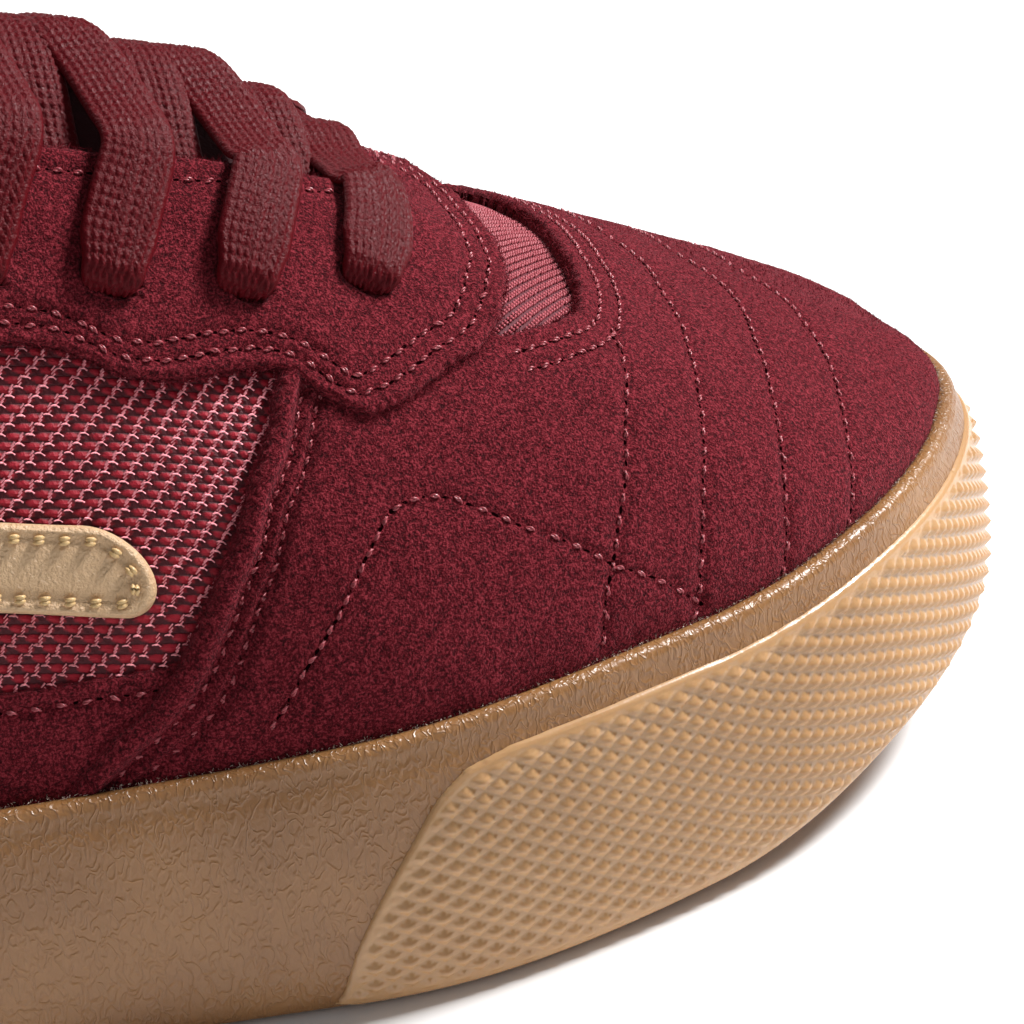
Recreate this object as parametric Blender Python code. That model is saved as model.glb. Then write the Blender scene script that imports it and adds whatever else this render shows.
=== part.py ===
"""A right-foot skateboarding shoe, built as separate solids round one set of section functions.

The shoe stands on its sole, toe towards +X, outer (lateral) side towards -Y, +Z up, in metres.
The origin is at the middle of the bottom of its box.
"""

import math

import bmesh
import bpy
import numpy as np

# Driving sizes, in metres
LENGTH = 0.2935              # sole outline from the heel to the toe
BALL_WIDTH = 0.107           # sole outline across the ball
INSTEP_HEIGHT = 0.105        # floor to the top corners of the eyestay
HEEL_WALL = 0.0296           # height of the rubber sidewall from heel to waist
BALL_WALL = 0.0336           # the same at the ball
TOE_WALL = 0.0250            # the same at the toe
TOE_SPRING = 0.0150          # how far the toe is lifted off the floor
ARCH_RISE = 0.0012           # how far the waist is lifted off the floor
LIP = 0.0019                 # thickness of the sidewall at its top edge
WALL_BULGE = 0.0015          # how far the sidewall swells outwards at half height
SOLE_FLOOR = 0.0090          # thickness of the rubber floor
GROOVE_DEPTH = 0.0014        # depth of the tread grooves
GROOVE_WIDTH = 0.0024
GROOVE_PITCH = 0.0120
GROOVE_RIM = 0.0085          # uncut rim round the tread
BUMPER_PROUD = 0.0012        # how far the toe bumper stands out of the sidewall
BUMPER_THICK = 0.0024
BUMPER_DROP = 0.0046         # from the top of the sidewall down to the top of the bumper
LINING = 0.0020              # lining and foam of the upper
PANEL_STEP = 0.0010          # thickness of a suede panel over the fabric
LAP_STEP = 0.0008            # how far the eyestay stands over the vamp where they lap
GAP = 0.0003                 # between pieces that touch
INSOLE_THICK = 0.0045
TONGUE_THICK = 0.0070
TONGUE_EDGE = 0.0030
TONGUE_TAIL = 0.037          # how far the tongue reaches past the top corners
PAD_THICK = 0.0070           # collar padding
PAD_TOP_INSET = 0.0012       # how far the padding stays below the top edge
PAD_END = 4.55               # section number where the padding ends on each side
PAD_CLEAR = 0.0006           # between the padding and the upper's wall
LACE_WIDTH = 0.0084
LACE_THICK = 0.0014
LACE_LIFT = 0.0008           # clearance of the laces over what they cross
EYELET_PITCH = 0.0143        # spacing of the eyelets along the shoe
EYELET_RADIUS = 0.0021
EYELET_FRONT = 0.699         # first eyelet, as a share of the length
EYELET_ROWS = 6
PATCH_LENGTH = 0.054         # plain leather patch on each side
PATCH_WIDTH = 0.0118
PATCH_THICK = 0.0011

ROWS_PER_SECTION = 3         # mesh columns between two sections

# Sections round the shoe, from the heel along the outer side to the toe and back along the inner side.
# along: share of LENGTH. across: share of BALL_WIDTH, + is the inner side.
# top_*: where the section ends at the collar or throat; top_height is a share of INSTEP_HEIGHT.
# rise, flare: first handle of the section's curve, up and out of the sole, shares of INSTEP_HEIGHT.
# roll_out, roll_down: second handle, out and down from the top, shares of INSTEP_HEIGHT.
# low_edge, stay_edge: share of the section's curve where the lower panels end and the eyestay starts.
COLUMNS = ("along", "across", "top_along", "top_across", "top_height",
           "rise", "flare", "roll_out", "roll_down", "low_edge", "stay_edge")
SECTIONS = (
    ("heel", 0.000, 0.009, 0.031, 0.009, 0.819, 0.248, 0.033, 0.014, 0.133, 0.620, 0.800),
    ("heel_outer_back", 0.031, -0.224, 0.051, -0.136, 0.810, 0.238, 0.033, 0.019, 0.133, 0.600, 0.800),
    ("heel_outer", 0.095, -0.332, 0.102, -0.250, 0.752, 0.210, 0.024, 0.019, 0.124, 0.520, 0.780),
    ("ankle_outer", 0.204, -0.360, 0.204, -0.312, 0.676, 0.171, 0.010, 0.019, 0.114, 0.340, 0.720),
    ("waist_outer", 0.341, -0.374, 0.313, -0.300, 0.752, 0.171, 0.000, 0.038, 0.143, 0.170, 0.700),
    ("top_outer", 0.479, -0.421, 0.412, -0.201, 1.000, 0.210, -0.010, 0.076, 0.190, 0.165, 0.660),
    ("instep_outer", 0.597, -0.467, 0.518, -0.178, 0.938, 0.190, -0.014, 0.086, 0.152, 0.170, 0.630),
    ("ball_outer", 0.689, -0.506, 0.634, -0.157, 0.846, 0.162, -0.010, 0.114, 0.133, 0.580, 0.615),
    ("joint_outer", 0.800, -0.462, 0.709, -0.112, 0.767, 0.143, 0.000, 0.152, 0.095, 0.635, 0.655),
    ("toe_outer_3", 0.877, -0.390, 0.722, -0.061, 0.752, 0.095, 0.010, 0.248, 0.133, 0.690, 0.810),
    ("toe_outer_2", 0.947, -0.266, 0.727, -0.014, 0.747, 0.067, 0.010, 0.324, 0.171, 0.755, 0.875),
    ("toe_outer_1", 0.994, -0.101, 0.729, 0.019, 0.745, 0.048, 0.010, 0.381, 0.195, 0.790, 0.910),
    ("toe", 1.000, 0.054, 0.730, 0.037, 0.745, 0.048, 0.010, 0.381, 0.195, 0.800, 0.930),
    ("toe_inner_1", 0.993, 0.229, 0.728, 0.065, 0.743, 0.048, 0.010, 0.362, 0.181, 0.790, 0.910),
    ("toe_inner_2", 0.944, 0.348, 0.726, 0.093, 0.743, 0.067, 0.010, 0.305, 0.152, 0.755, 0.875),
    ("toe_inner_3", 0.872, 0.438, 0.719, 0.131, 0.748, 0.095, 0.010, 0.229, 0.114, 0.690, 0.810),
    ("joint_inner", 0.777, 0.493, 0.692, 0.182, 0.781, 0.143, 0.000, 0.143, 0.095, 0.635, 0.655),
    ("ball_inner", 0.664, 0.477, 0.613, 0.210, 0.852, 0.162, -0.010, 0.105, 0.133, 0.580, 0.615),
    ("instep_inner", 0.545, 0.421, 0.511, 0.224, 0.933, 0.190, -0.014, 0.076, 0.171, 0.170, 0.630),
    ("top_inner", 0.426, 0.360, 0.409, 0.238, 0.995, 0.210, -0.010, 0.057, 0.190, 0.165, 0.660),
    ("waist_inner", 0.307, 0.336, 0.307, 0.308, 0.752, 0.171, 0.000, 0.029, 0.143, 0.170, 0.700),
    ("ankle_inner", 0.170, 0.336, 0.191, 0.312, 0.686, 0.171, 0.014, 0.019, 0.114, 0.340, 0.720),
    ("heel_inner", 0.075, 0.308, 0.095, 0.250, 0.762, 0.210, 0.024, 0.019, 0.124, 0.520, 0.780),
    ("heel_inner_back", 0.020, 0.187, 0.048, 0.131, 0.812, 0.238, 0.033, 0.019, 0.133, 0.600, 0.800),
)

# Along the shoe, as shares of LENGTH: lift of the sole (share of TOE_SPRING) and inset of the upper
SPRING_STATIONS = ((0.0, 0.0), (0.680, 0.0), (0.800, 0.065), (0.903, 0.487), (1.015, 1.053))
ARCH_STATIONS = ((0.24, 0.0), (0.37, 1.0), (0.46, 1.0), (0.60, 0.0))
WALL_STATIONS = (0.0, 0.510, 0.784, 1.015)
INSET_STATIONS = ((0.0, 0.0035), (0.682, 0.0035), (0.852, 0.0030), (1.015, 0.0060))
# Front to top, at shares of LENGTH: how far the tongue, and the bed of the laces, stand above the
# throat's edges
TONGUE_STATIONS = ((0.722, -0.0048, 0.0010), (0.707, 0.0000, 0.0022), (0.682, 0.0045, 0.0052),
                   (0.650, 0.0068, 0.0070), (0.610, 0.0080, 0.0080), (0.560, 0.0088, 0.0088),
                   (0.500, 0.0096, 0.0096), (0.445, 0.0105, 0.0105))
STAY_LOBE = 0.085            # how far the eyestay dips towards the sole at its front lobe
LOBE_AT, LOBE_SPREAD = 7.2, 0.30

COUNT = len(SECTIONS)
HALF = COUNT // 2
BUMPER_ENDS = (20/3, 17.00)  # section numbers where the bumper ends, at half its height
BUMPER_SLANT = 0.75          # sections by which the bumper's ends lean over the sidewall's height
WALL_SHARES = (0.045, 0.16, 0.42, 0.66)  # heights of the rows up the sidewall, as shares of it

COLOURS = {
    "suede": ((0.155, 0.012, 0.020), 0.85),
    "rubber": ((0.45, 0.26, 0.12), 0.45),
    "bumper": ((0.56, 0.34, 0.17), 0.40),
    "lace": ((0.085, 0.012, 0.016), 0.70),
    "fabric": ((0.12, 0.012, 0.020), 0.80),
    "lining": ((0.10, 0.012, 0.018), 0.85),
    "leather": ((0.40, 0.24, 0.11), 0.50),
}


def clear_scene():
    for obj in list(bpy.data.objects):
        bpy.data.objects.remove(obj, do_unlink=True)


def material(name):
    colour, roughness = COLOURS[name]
    made = bpy.data.materials.get(name) or bpy.data.materials.new(name)
    made.use_nodes = True
    shader = made.node_tree.nodes["Principled BSDF"]
    shader.inputs["Base Color"].default_value = (*colour, 1.0)
    shader.inputs["Roughness"].default_value = roughness
    shader.inputs["Metallic"].default_value = 0.0
    return made


# Curves through the tables
def column(name):
    return np.array([row[1 + COLUMNS.index(name)] for row in SECTIONS])


def closed_slopes(values):
    """Slopes of a smooth closed curve through the values, one step apart."""
    count = len(values)
    matrix = 4.0 * np.eye(count) + np.roll(np.eye(count), 1, 0) + np.roll(np.eye(count), -1, 0)
    return np.linalg.solve(matrix, 3.0 * (np.roll(values, -1, 0) - np.roll(values, 1, 0)))


def local_slopes(values):
    return (np.roll(values, -1, 0) - np.roll(values, 1, 0)) / 2.0


def on_closed(values, slopes, u, derivative=False):
    """The closed curve, or its derivative, at section numbers u."""
    u = np.asarray(u, float) % len(values)
    first = np.floor(u).astype(int) % len(values)
    last = (first + 1) % len(values)
    t = (u - np.floor(u))[..., None]
    if derivative:
        weights = (6*t**2 - 6*t, 3*t**2 - 4*t + 1, -6*t**2 + 6*t, 3*t**2 - 2*t)
    else:
        weights = (2*t**3 - 3*t**2 + 1, t**3 - 2*t**2 + t, -2*t**3 + 3*t**2, t**3 - t**2)
    return (weights[0]*values[first] + weights[1]*slopes[first]
            + weights[2]*values[last] + weights[3]*slopes[last])


def along_stations(stations, values, x):
    """A smooth curve without overshoot through values at the given stations."""
    stations = np.asarray(stations, float)
    values = np.asarray(values, float)
    x = np.clip(x, stations[0], stations[-1])
    steps = np.diff(stations)
    rates = np.diff(values) / steps
    slopes = np.zeros(len(stations))
    for k in range(1, len(stations) - 1):
        if rates[k-1] * rates[k] > 0.0:
            before = 2.0*steps[k] + steps[k-1]
            after = steps[k] + 2.0*steps[k-1]
            slopes[k] = (before + after) / (before/rates[k-1] + after/rates[k])
    slopes[0], slopes[-1] = rates[0], rates[-1]
    k = np.clip(np.searchsorted(stations, x) - 1, 0, len(steps) - 1)
    t = (x - stations[k]) / steps[k]
    return ((2*t**3 - 3*t**2 + 1)*values[k] + (t**3 - 2*t**2 + t)*steps[k]*slopes[k]
            + (-2*t**3 + 3*t**2)*values[k+1] + (t**3 - t**2)*steps[k]*slopes[k+1])


OUTLINE = np.stack([column("along")*LENGTH, column("across")*BALL_WIDTH], 1)
OUTLINE_SLOPES = closed_slopes(OUTLINE)
TOP = np.stack([column("top_along")*LENGTH, column("top_across")*BALL_WIDTH,
                column("top_height")*INSTEP_HEIGHT], 1)
TOP_SLOPES = local_slopes(TOP)
HANDLES = np.stack([column(name) for name in ("rise", "flare", "roll_out", "roll_down")], 1)*INSTEP_HEIGHT
HANDLE_SLOPES = local_slopes(HANDLES)
EDGES = np.stack([column("low_edge"), column("stay_edge")], 1)
EDGE_SLOPES = local_slopes(EDGES)


# The sole's bottom and wall
def sole_lift(x):
    """Height of the sole's bottom over the floor at a place along the shoe."""
    share = np.asarray(x, float) / LENGTH
    spring = along_stations([s[0] for s in SPRING_STATIONS], [s[1] for s in SPRING_STATIONS], share)
    arch = along_stations([s[0] for s in ARCH_STATIONS], [s[1] for s in ARCH_STATIONS], share)
    return spring*TOE_SPRING + arch*ARCH_RISE


def wall_height(x):
    return along_stations(WALL_STATIONS, (HEEL_WALL, HEEL_WALL, BALL_WALL, TOE_WALL), np.asarray(x)/LENGTH)


def upper_inset(x):
    """From the bottom outline in to where the upper meets the sidewall."""
    return along_stations([s[0] for s in INSET_STATIONS], [s[1] for s in INSET_STATIONS],
                          np.asarray(x)/LENGTH)


def outline(u):
    """The bottom outline and its outward direction in plan."""
    place = on_closed(OUTLINE, OUTLINE_SLOPES, u)
    run = on_closed(OUTLINE, OUTLINE_SLOPES, u, derivative=True)
    run = run / np.linalg.norm(run, axis=-1, keepdims=True)
    return place, np.stack([run[..., 1], -run[..., 0]], -1)


def ring(u, inset, above_sole):
    """Points at an inset from the bottom outline and a height above the sole's bottom there."""
    place, out = outline(u)
    inset = np.broadcast_to(inset, place.shape[:-1])
    lift = sole_lift(place[..., 0])
    flat = place - out*inset[..., None]
    return np.concatenate([flat, (lift + above_sole)[..., None]], -1)


# The upper's outer surface
def section_points(u):
    """The four control points of the section's curve, from the sidewall's top to the collar or throat."""
    place, out = outline(u)
    foot = ring(u, upper_inset(place[..., 0]), wall_height(place[..., 0]))
    top = on_closed(TOP, TOP_SLOPES, u)
    rise, flare, roll_out, roll_down = np.moveaxis(on_closed(HANDLES, HANDLE_SLOPES, u), -1, 0)
    away = (foot - top)*np.array([1.0, 1.0, 0.0])
    away = away / np.linalg.norm(away, axis=-1, keepdims=True)
    out = np.concatenate([out, np.zeros(out.shape[:-1] + (1,))], -1)
    up = np.array([0.0, 0.0, 1.0])
    low = foot + up*rise[..., None] + out*flare[..., None]
    high = top + away*roll_out[..., None] - up*roll_down[..., None]
    return foot, low, high, top


def last_surface(u, v):
    """A point on the shoe's outer form: u is the section number, v runs from sidewall (0) to top (1)."""
    u, v = np.broadcast_arrays(np.asarray(u, float), np.asarray(v, float))
    foot, low, high, top = section_points(u)
    t = v[..., None]
    return foot*(1 - t)**3 + 3*low*t*(1 - t)**2 + 3*high*t**2*(1 - t) + top*t**3


def last_normal(u, v, step=0.01):
    u, v = np.broadcast_arrays(np.asarray(u, float), np.asarray(v, float))
    low_v = np.clip(v - step, 0.0, 1.0 - 2*step)
    along = last_surface(u + step*4, v) - last_surface(u - step*4, v)
    upward = last_surface(u, low_v + 2*step) - last_surface(u, low_v)
    normal = np.cross(along, upward)
    return normal / np.linalg.norm(normal, axis=-1, keepdims=True)


def over_last(u, v, offset):
    """A point at an offset outside (+) or inside (-) the outer form."""
    offset = np.broadcast_to(offset, np.broadcast(u, v).shape)
    return last_surface(u, v) + last_normal(u, v)*offset[..., None]


def panel_edges(u):
    """Where the lower panels end and the eyestay starts, and how far they lap near the lobe."""
    low, stay = np.moveaxis(on_closed(EDGES, EDGE_SLOPES, u), -1, 0)
    lobe = (np.exp(-((u - LOBE_AT)/LOBE_SPREAD)**2) + np.exp(-((COUNT - u - LOBE_AT)/LOBE_SPREAD)**2))
    stay = stay - STAY_LOBE*lobe
    lap = np.clip((low - stay + 0.05)/0.04, 0.0, 1.0)
    return np.minimum(low, stay - 0.012), stay, lap


# Solids from grids of points
def finish_solid(name, mesh_builder, colour):
    """Merges doubled points, makes every face point out and adds the object."""
    bmesh.ops.remove_doubles(mesh_builder, verts=mesh_builder.verts, dist=2e-6)
    bmesh.ops.recalc_face_normals(mesh_builder, faces=mesh_builder.faces)
    mesh = bpy.data.meshes.new(name)
    mesh_builder.to_mesh(mesh)
    mesh_builder.free()
    mesh.materials.append(material(colour))
    mesh.shade_smooth()
    mesh.set_sharp_from_angle(angle=math.radians(40))
    made = bpy.data.objects.new(name, mesh)
    bpy.context.scene.collection.objects.link(made)
    return made


def add_points(builder, grid):
    return [[builder.verts.new(point) for point in row] for row in grid]


def add_strip(builder, first, second, closed):
    """Faces between two rows of points of the same length."""
    count = len(first)
    for k in range(count if closed else count - 1):
        n = (k + 1) % count
        builder.faces.new((first[k], first[n], second[n], second[k]))


def add_ladder(builder, loop):
    """Closes a ring whose points pair up across the shoe, by faces that run from side to side."""
    count = len(loop)
    half = count // 2
    for k in range(half):
        corners = [loop[k], loop[k + 1], loop[(count - k - 1) % count], loop[(count - k) % count]]
        distinct = [c for n, c in enumerate(corners) if c not in corners[:n]]
        builder.faces.new(distinct)


def shell(name, outer, inner, closed, colour):
    """A solid between an outer and an inner grid of the same size; closed joins its two ends."""
    builder = bmesh.new()
    outside = add_points(builder, outer)
    inside = add_points(builder, inner)
    count = len(outside)
    for k in range(count if closed else count - 1):
        n = (k + 1) % count
        add_strip(builder, outside[k], outside[n], False)
        add_strip(builder, inside[n], inside[k], False)
        for edge in (0, -1):
            builder.faces.new((outside[k][edge], outside[n][edge], inside[n][edge], inside[k][edge]))
    if not closed:
        add_strip(builder, outside[0], inside[0], False)
        add_strip(builder, outside[-1], inside[-1], False)
    return finish_solid(name, builder, colour)


def stack_of_rings(name, rings, colour):
    """A solid bounded by rings round the shoe, closed across its first and its last ring."""
    builder = bmesh.new()
    loops = add_points(builder, rings)
    for first, second in zip(loops, loops[1:]):
        add_strip(builder, first, second, True)
    add_ladder(builder, loops[0])
    add_ladder(builder, loops[-1])
    return finish_solid(name, builder, colour)


def cut(target, cutter, operation="DIFFERENCE"):
    cutter.hide_render = True
    cutter.display_type = "WIRE"
    change = target.modifiers.new("cut_" + cutter.name, "BOOLEAN")
    change.operation = operation
    change.object = cutter


SECTION_STEPS = np.arange(COUNT*ROWS_PER_SECTION)/ROWS_PER_SECTION


# Cupsole: floor and sidewall in one, with a recess for the toe bumper
def bumper_columns():
    """Section numbers of the sole's columns, doubled at the bumper's ends, and which lie in its recess."""
    columns = []
    for u in SECTION_STEPS:
        inside = BUMPER_ENDS[0] <= u <= BUMPER_ENDS[1]
        if abs(u - BUMPER_ENDS[0]) < 1e-6:
            columns += [(u, False), (u, True)]
        elif abs(u - BUMPER_ENDS[1]) < 1e-6:
            columns += [(u, True), (u, False)]
        else:
            columns.append((u, inside))
    return np.array([c[0] for c in columns]), np.array([c[1] for c in columns])


def slanted(u, height_share):
    """Section numbers shifted so that the bumper's ends lean."""
    spread = 1.5
    for end, side in zip(BUMPER_ENDS, (1.0, -1.0)):
        near = np.clip(1.0 - np.abs(u - end)/spread, 0.0, 1.0)
        u = u + side*BUMPER_SLANT*(height_share - 0.5)*np.sin(near*math.pi/2)**2
    return u


def wall_inset(u, height_share):
    """Inset of the sidewall's outer face from the bottom outline."""
    place, _ = outline(u)
    top = upper_inset(place[..., 0]) - GAP - LIP
    bulge = WALL_BULGE*math.sqrt(math.sin(math.pi*min(1.0, max(0.0, height_share)*1.1)))
    return top*height_share - bulge


def bumper_top_share(u):
    place, _ = outline(u)
    return 1.0 - BUMPER_DROP/wall_height(place[..., 0])


def outer_wall_row(u, share, recessed):
    """One row round the sidewall. share is the height as a share of the wall, recessed a flag per column."""
    share = np.broadcast_to(np.asarray(share, float), u.shape)
    leaned = slanted(u, share)
    place, _ = outline(leaned)
    inset = np.array([wall_inset(leaned[k], share[k]) for k in range(len(u))])
    inset = inset + np.where(recessed, BUMPER_THICK - BUMPER_PROUD + GAP, 0.0)
    return ring(leaned, inset, share*wall_height(place[..., 0]))


def build_cupsole():
    u, recessed = bumper_columns()
    flat = np.zeros(len(u), bool)
    rows = [ring(slanted(u, 0.0), 0.0022 + np.where(recessed, BUMPER_THICK, 0.0), 0.0)]
    for share in WALL_SHARES:
        rows.append(outer_wall_row(u, share, recessed))
    top_share = bumper_top_share(slanted(u, 0.85))
    clear = GAP/HEEL_WALL
    rows.append(outer_wall_row(u, top_share + clear, recessed))
    rows.append(outer_wall_row(u, top_share + clear, flat))
    rows.append(outer_wall_row(u, 0.5*(top_share + 0.97), flat))
    leaned = slanted(u, 1.0)
    place, _ = outline(leaned)
    seat = upper_inset(place[..., 0]) - GAP
    height = wall_height(place[..., 0])
    rows.append(ring(leaned, seat - LIP, height - 0.0009))
    rows.append(ring(leaned, seat - LIP*0.6, height))
    rows.append(ring(leaned, seat - LIP*0.15, height))
    rows.append(ring(leaned, seat, height - 0.0006))
    rows.append(ring(leaned, seat + 0.0004, height - 0.004))
    rows.append(ring(leaned, seat + 0.0020, 0.45*height + 0.55*SOLE_FLOOR))
    rows.append(ring(leaned, seat + 0.0044, np.full(len(u), SOLE_FLOOR)))
    builder = bmesh.new()
    loops = add_points(builder, rows)
    for first, second in zip(loops, loops[1:]):
        add_strip(builder, first, second, True)
    for loop in (loops[0], loops[-1]):
        close_across(builder, loop, u)
    sole = finish_solid("cupsole", builder, "rubber")
    cut(sole, tread_cutter())
    return sole


def close_across(builder, loop, u):
    """Closes a ring by faces between the outer and the inner side, pairing columns by their share."""
    count = len(loop)
    toe = int(np.argmin(np.abs(u - HALF)))
    outer = [(u[k]/HALF, loop[k]) for k in range(0, toe + 1)]
    inner = [((COUNT - u[k])/HALF, loop[k]) for k in range(count - 1, toe - 1, -1)]
    a = b = 0
    inner = [(0.0, loop[0])] + inner
    while a < len(outer) - 1 or b < len(inner) - 1:
        step_outer = outer[a + 1][0] if a < len(outer) - 1 else 9.0
        step_inner = inner[b + 1][0] if b < len(inner) - 1 else 9.0
        if step_outer <= step_inner:
            corners = (outer[a][1], outer[a + 1][1], inner[b][1])
            a += 1
        else:
            corners = (outer[a][1], inner[b + 1][1], inner[b][1])
            b += 1
        if len(set(corners)) == 3:
            builder.faces.new(corners)


def tread_cutter():
    """Bars across the heel and the forefoot that cut the tread's grooves, inside an uncut rim."""
    builder = bmesh.new()
    fine = np.linspace(0.0, COUNT, 961)[:-1]
    edge = ring(fine, GROOVE_RIM, 0.0)
    tip = edge[:, 0].max()
    start = edge[:, 0].min()
    along = start + GROOVE_PITCH
    while along < tip - GROOVE_PITCH*0.6:
        share = along/LENGTH
        if share < 0.27 or share > 0.52:
            near = edge[np.abs(edge[:, 0] - along) < 0.0025]
            low, high = near[:, 1].min() + 0.001, near[:, 1].max() - 0.001
            slope = (sole_lift(along + 0.001) - sole_lift(along - 0.001))/0.002
            lift = sole_lift(along)
            corners = []
            for side in (-1.0, 1.0):
                x = along + side*GROOVE_WIDTH/2
                z = lift + slope*side*GROOVE_WIDTH/2
                corners += [(x, z - 0.002), (x, z + GROOVE_DEPTH)]
            ends = []
            for y in (low, high):
                ends.append([builder.verts.new((x, y, z)) for x, z in corners])
            a, b = ends
            corner_order = (0, 1, 3, 2)
            builder.faces.new([a[k] for k in corner_order])
            builder.faces.new([b[k] for k in reversed(corner_order)])
            for k, n in zip(corner_order, corner_order[1:] + corner_order[:1]):
                builder.faces.new((a[k], b[k], b[n], a[n]))
        along += GROOVE_PITCH
    return finish_solid("tread_cutter", builder, "rubber")


def build_bumper():
    """Textured guard round the toe, let into the sidewall's recess."""
    within = (SECTION_STEPS > BUMPER_ENDS[0] - 1e-6) & (SECTION_STEPS < BUMPER_ENDS[1] + 1e-6)
    u = SECTION_STEPS[within]
    clear_end = 0.035
    u[0] += clear_end
    u[-1] -= clear_end
    outer, inner = [], []
    top_share = bumper_top_share(slanted(u, 0.85))
    shares = [np.full(len(u), share) for share in WALL_SHARES] + [top_share]
    for number, share in enumerate(shares):
        leaned = slanted(u, share)
        place, _ = outline(leaned)
        inset = np.array([wall_inset(leaned[k], share[k]) for k in range(len(u))])
        edge = 0.0006 if number in (0, len(shares) - 1) else 0.0
        height = share*wall_height(place[..., 0])
        outer.append(ring(leaned, inset - BUMPER_PROUD + edge, height))
        inner.append(ring(leaned, inset - BUMPER_PROUD + BUMPER_THICK, height))
    outer = np.array(outer).transpose(1, 0, 2)
    inner = np.array(inner).transpose(1, 0, 2)
    return shell("toe_bumper", outer, inner, False, "bumper")


# Upper: one hollow wall, open at the collar, the throat and underneath
WALL_IN = PANEL_STEP + LINING


def build_upper():
    u = SECTION_STEPS
    place, _ = outline(u)
    seat = upper_inset(place[..., 0])
    height = wall_height(place[..., 0])
    low, stay, lap = panel_edges(u)
    outer = [ring(u, seat + 0.0047, np.full(len(u), SOLE_FLOOR + GAP)),
             ring(u, seat + 0.0020, 0.45*height + 0.55*SOLE_FLOOR),
             ring(u, seat + 0.0004, height - 0.004)]
    inner = [ring(u, seat + 0.0047 + WALL_IN, np.full(len(u), SOLE_FLOOR + GAP)),
             ring(u, seat + 0.0020 + WALL_IN, 0.45*height + 0.55*SOLE_FLOOR),
             ring(u, seat + 0.0004 + WALL_IN, height - 0.004)]
    middle = -PANEL_STEP*(1.0 - lap)
    stay_over = LAP_STEP*lap
    rows = [(low*share, 0.0*low) for share in (0.0, 0.3, 0.65, 1.0)]
    rows += [(low + 0.0*low, middle), (0.5*(low + stay), middle), (stay, middle)]
    rows += [(stay + (1.0 - stay)*share, stay_over) for share in (0.0, 0.45)]
    rows.append((np.full(len(u), 0.97), 0.6*stay_over))
    rows.append((np.full(len(u), 1.0), np.full(len(u), -0.0004)))
    for v, offset in rows:
        outer.append(over_last(u, v, offset))
        inner.append(over_last(u, v, -WALL_IN))
    outer = np.array(outer).transpose(1, 0, 2)
    inner = np.array(inner).transpose(1, 0, 2)
    upper = shell("upper", outer, inner, True, "suede")
    cut(upper, eyelet_cutter())
    return upper


EYELET_LEVEL = 0.755
OUTER_SPAN = (5.0, 9.4)
INNER_SPAN = (14.6, 19.0)


def eyelet_x(row):
    return EYELET_FRONT*LENGTH - EYELET_PITCH*row


def sections_by_x(level, span):
    """Places along the shoe and the section numbers that reach them at one level."""
    u = np.linspace(span[0], span[1], 241)
    x = last_surface(u, level)[:, 0]
    order = np.argsort(x)
    return x[order], u[order]


EYELET_LINES = {span: sections_by_x(EYELET_LEVEL, span) for span in (OUTER_SPAN, INNER_SPAN)}
THROAT_LINES = {span: sections_by_x(1.0, span) for span in (OUTER_SPAN, INNER_SPAN)}


def eyelet_section(row, span):
    return float(np.interp(eyelet_x(row), *EYELET_LINES[span]))


def throat_section(x, span):
    return float(np.interp(x, *THROAT_LINES[span]))


def eyelet_cutter():
    builder = bmesh.new()
    sides = 8
    for row in range(EYELET_ROWS):
        for span in (OUTER_SPAN, INNER_SPAN):
            u = eyelet_section(row, span)
            centre = last_surface(u, EYELET_LEVEL)
            normal = last_normal(u, EYELET_LEVEL)
            side = np.cross(normal, np.array([0.0, 0.0, 1.0]))
            side = side / np.linalg.norm(side)
            other = np.cross(normal, side)
            ends = []
            for reach in (-0.009, 0.006):
                loop = []
                for k in range(sides):
                    turn = 2*math.pi*k/sides
                    offset = side*math.cos(turn) + other*math.sin(turn)
                    loop.append(builder.verts.new(centre + normal*reach + offset*EYELET_RADIUS))
                ends.append(loop)
            add_strip(builder, ends[0], ends[1], True)
            builder.faces.new(ends[0])
            builder.faces.new(list(reversed(ends[1])))
    return finish_solid("eyelet_cutter", builder, "suede")


# Insole
def build_insole():
    u = SECTION_STEPS
    place, _ = outline(u)
    edge = upper_inset(place[..., 0]) + 0.0047 + WALL_IN + 2*GAP
    base = SOLE_FLOOR + GAP
    heights = (base, base + 0.0012, base + INSOLE_THICK - 0.0008, base + INSOLE_THICK)
    insets = (0.0008, 0.0002, 0.0002, 0.0012)
    rings = [ring(u, edge + inset, np.full(len(u), high)) for inset, high in zip(insets, heights)]
    return stack_of_rings("insole", rings, "fabric")


# Collar padding inside the upper, from one top corner round the heel to the other
def build_collar_pad():
    reach = math.floor(PAD_END*ROWS_PER_SECTION)
    turns = np.concatenate([[PAD_END], np.arange(reach, -reach - 1, -1)/ROWS_PER_SECTION, [-PAD_END]])
    count = len(turns)
    share = (PAD_END - turns)/(2*PAD_END)
    taper = np.clip(np.minimum(share, 1.0 - share)/0.10, 0.0, 1.0)**0.5
    levels = (0.40, 0.55, 0.74, 0.91, 0.985)
    fullness = (0.12, 0.70, 1.0, 0.72, 0.30)
    outer, inner = [], []
    for level, full in zip(levels, fullness):
        near = over_last(turns, np.full(count, level), -(WALL_IN + PAD_CLEAR))
        thick = 0.0012 + (PAD_THICK - 0.0012)*full*(0.25 + 0.75*taper)
        outer.append(near)
        inner.append(near - last_normal(turns, np.full(count, level))*thick[:, None])
    for rows in (outer, inner):
        rows[-1] = rows[-1] - np.array([0.0, 0.0, PAD_TOP_INSET*0.3])
    outer = np.array(outer).transpose(1, 0, 2)
    inner = np.array(inner).transpose(1, 0, 2)
    return shell("collar_padding", outer, inner, False, "lining")


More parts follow.
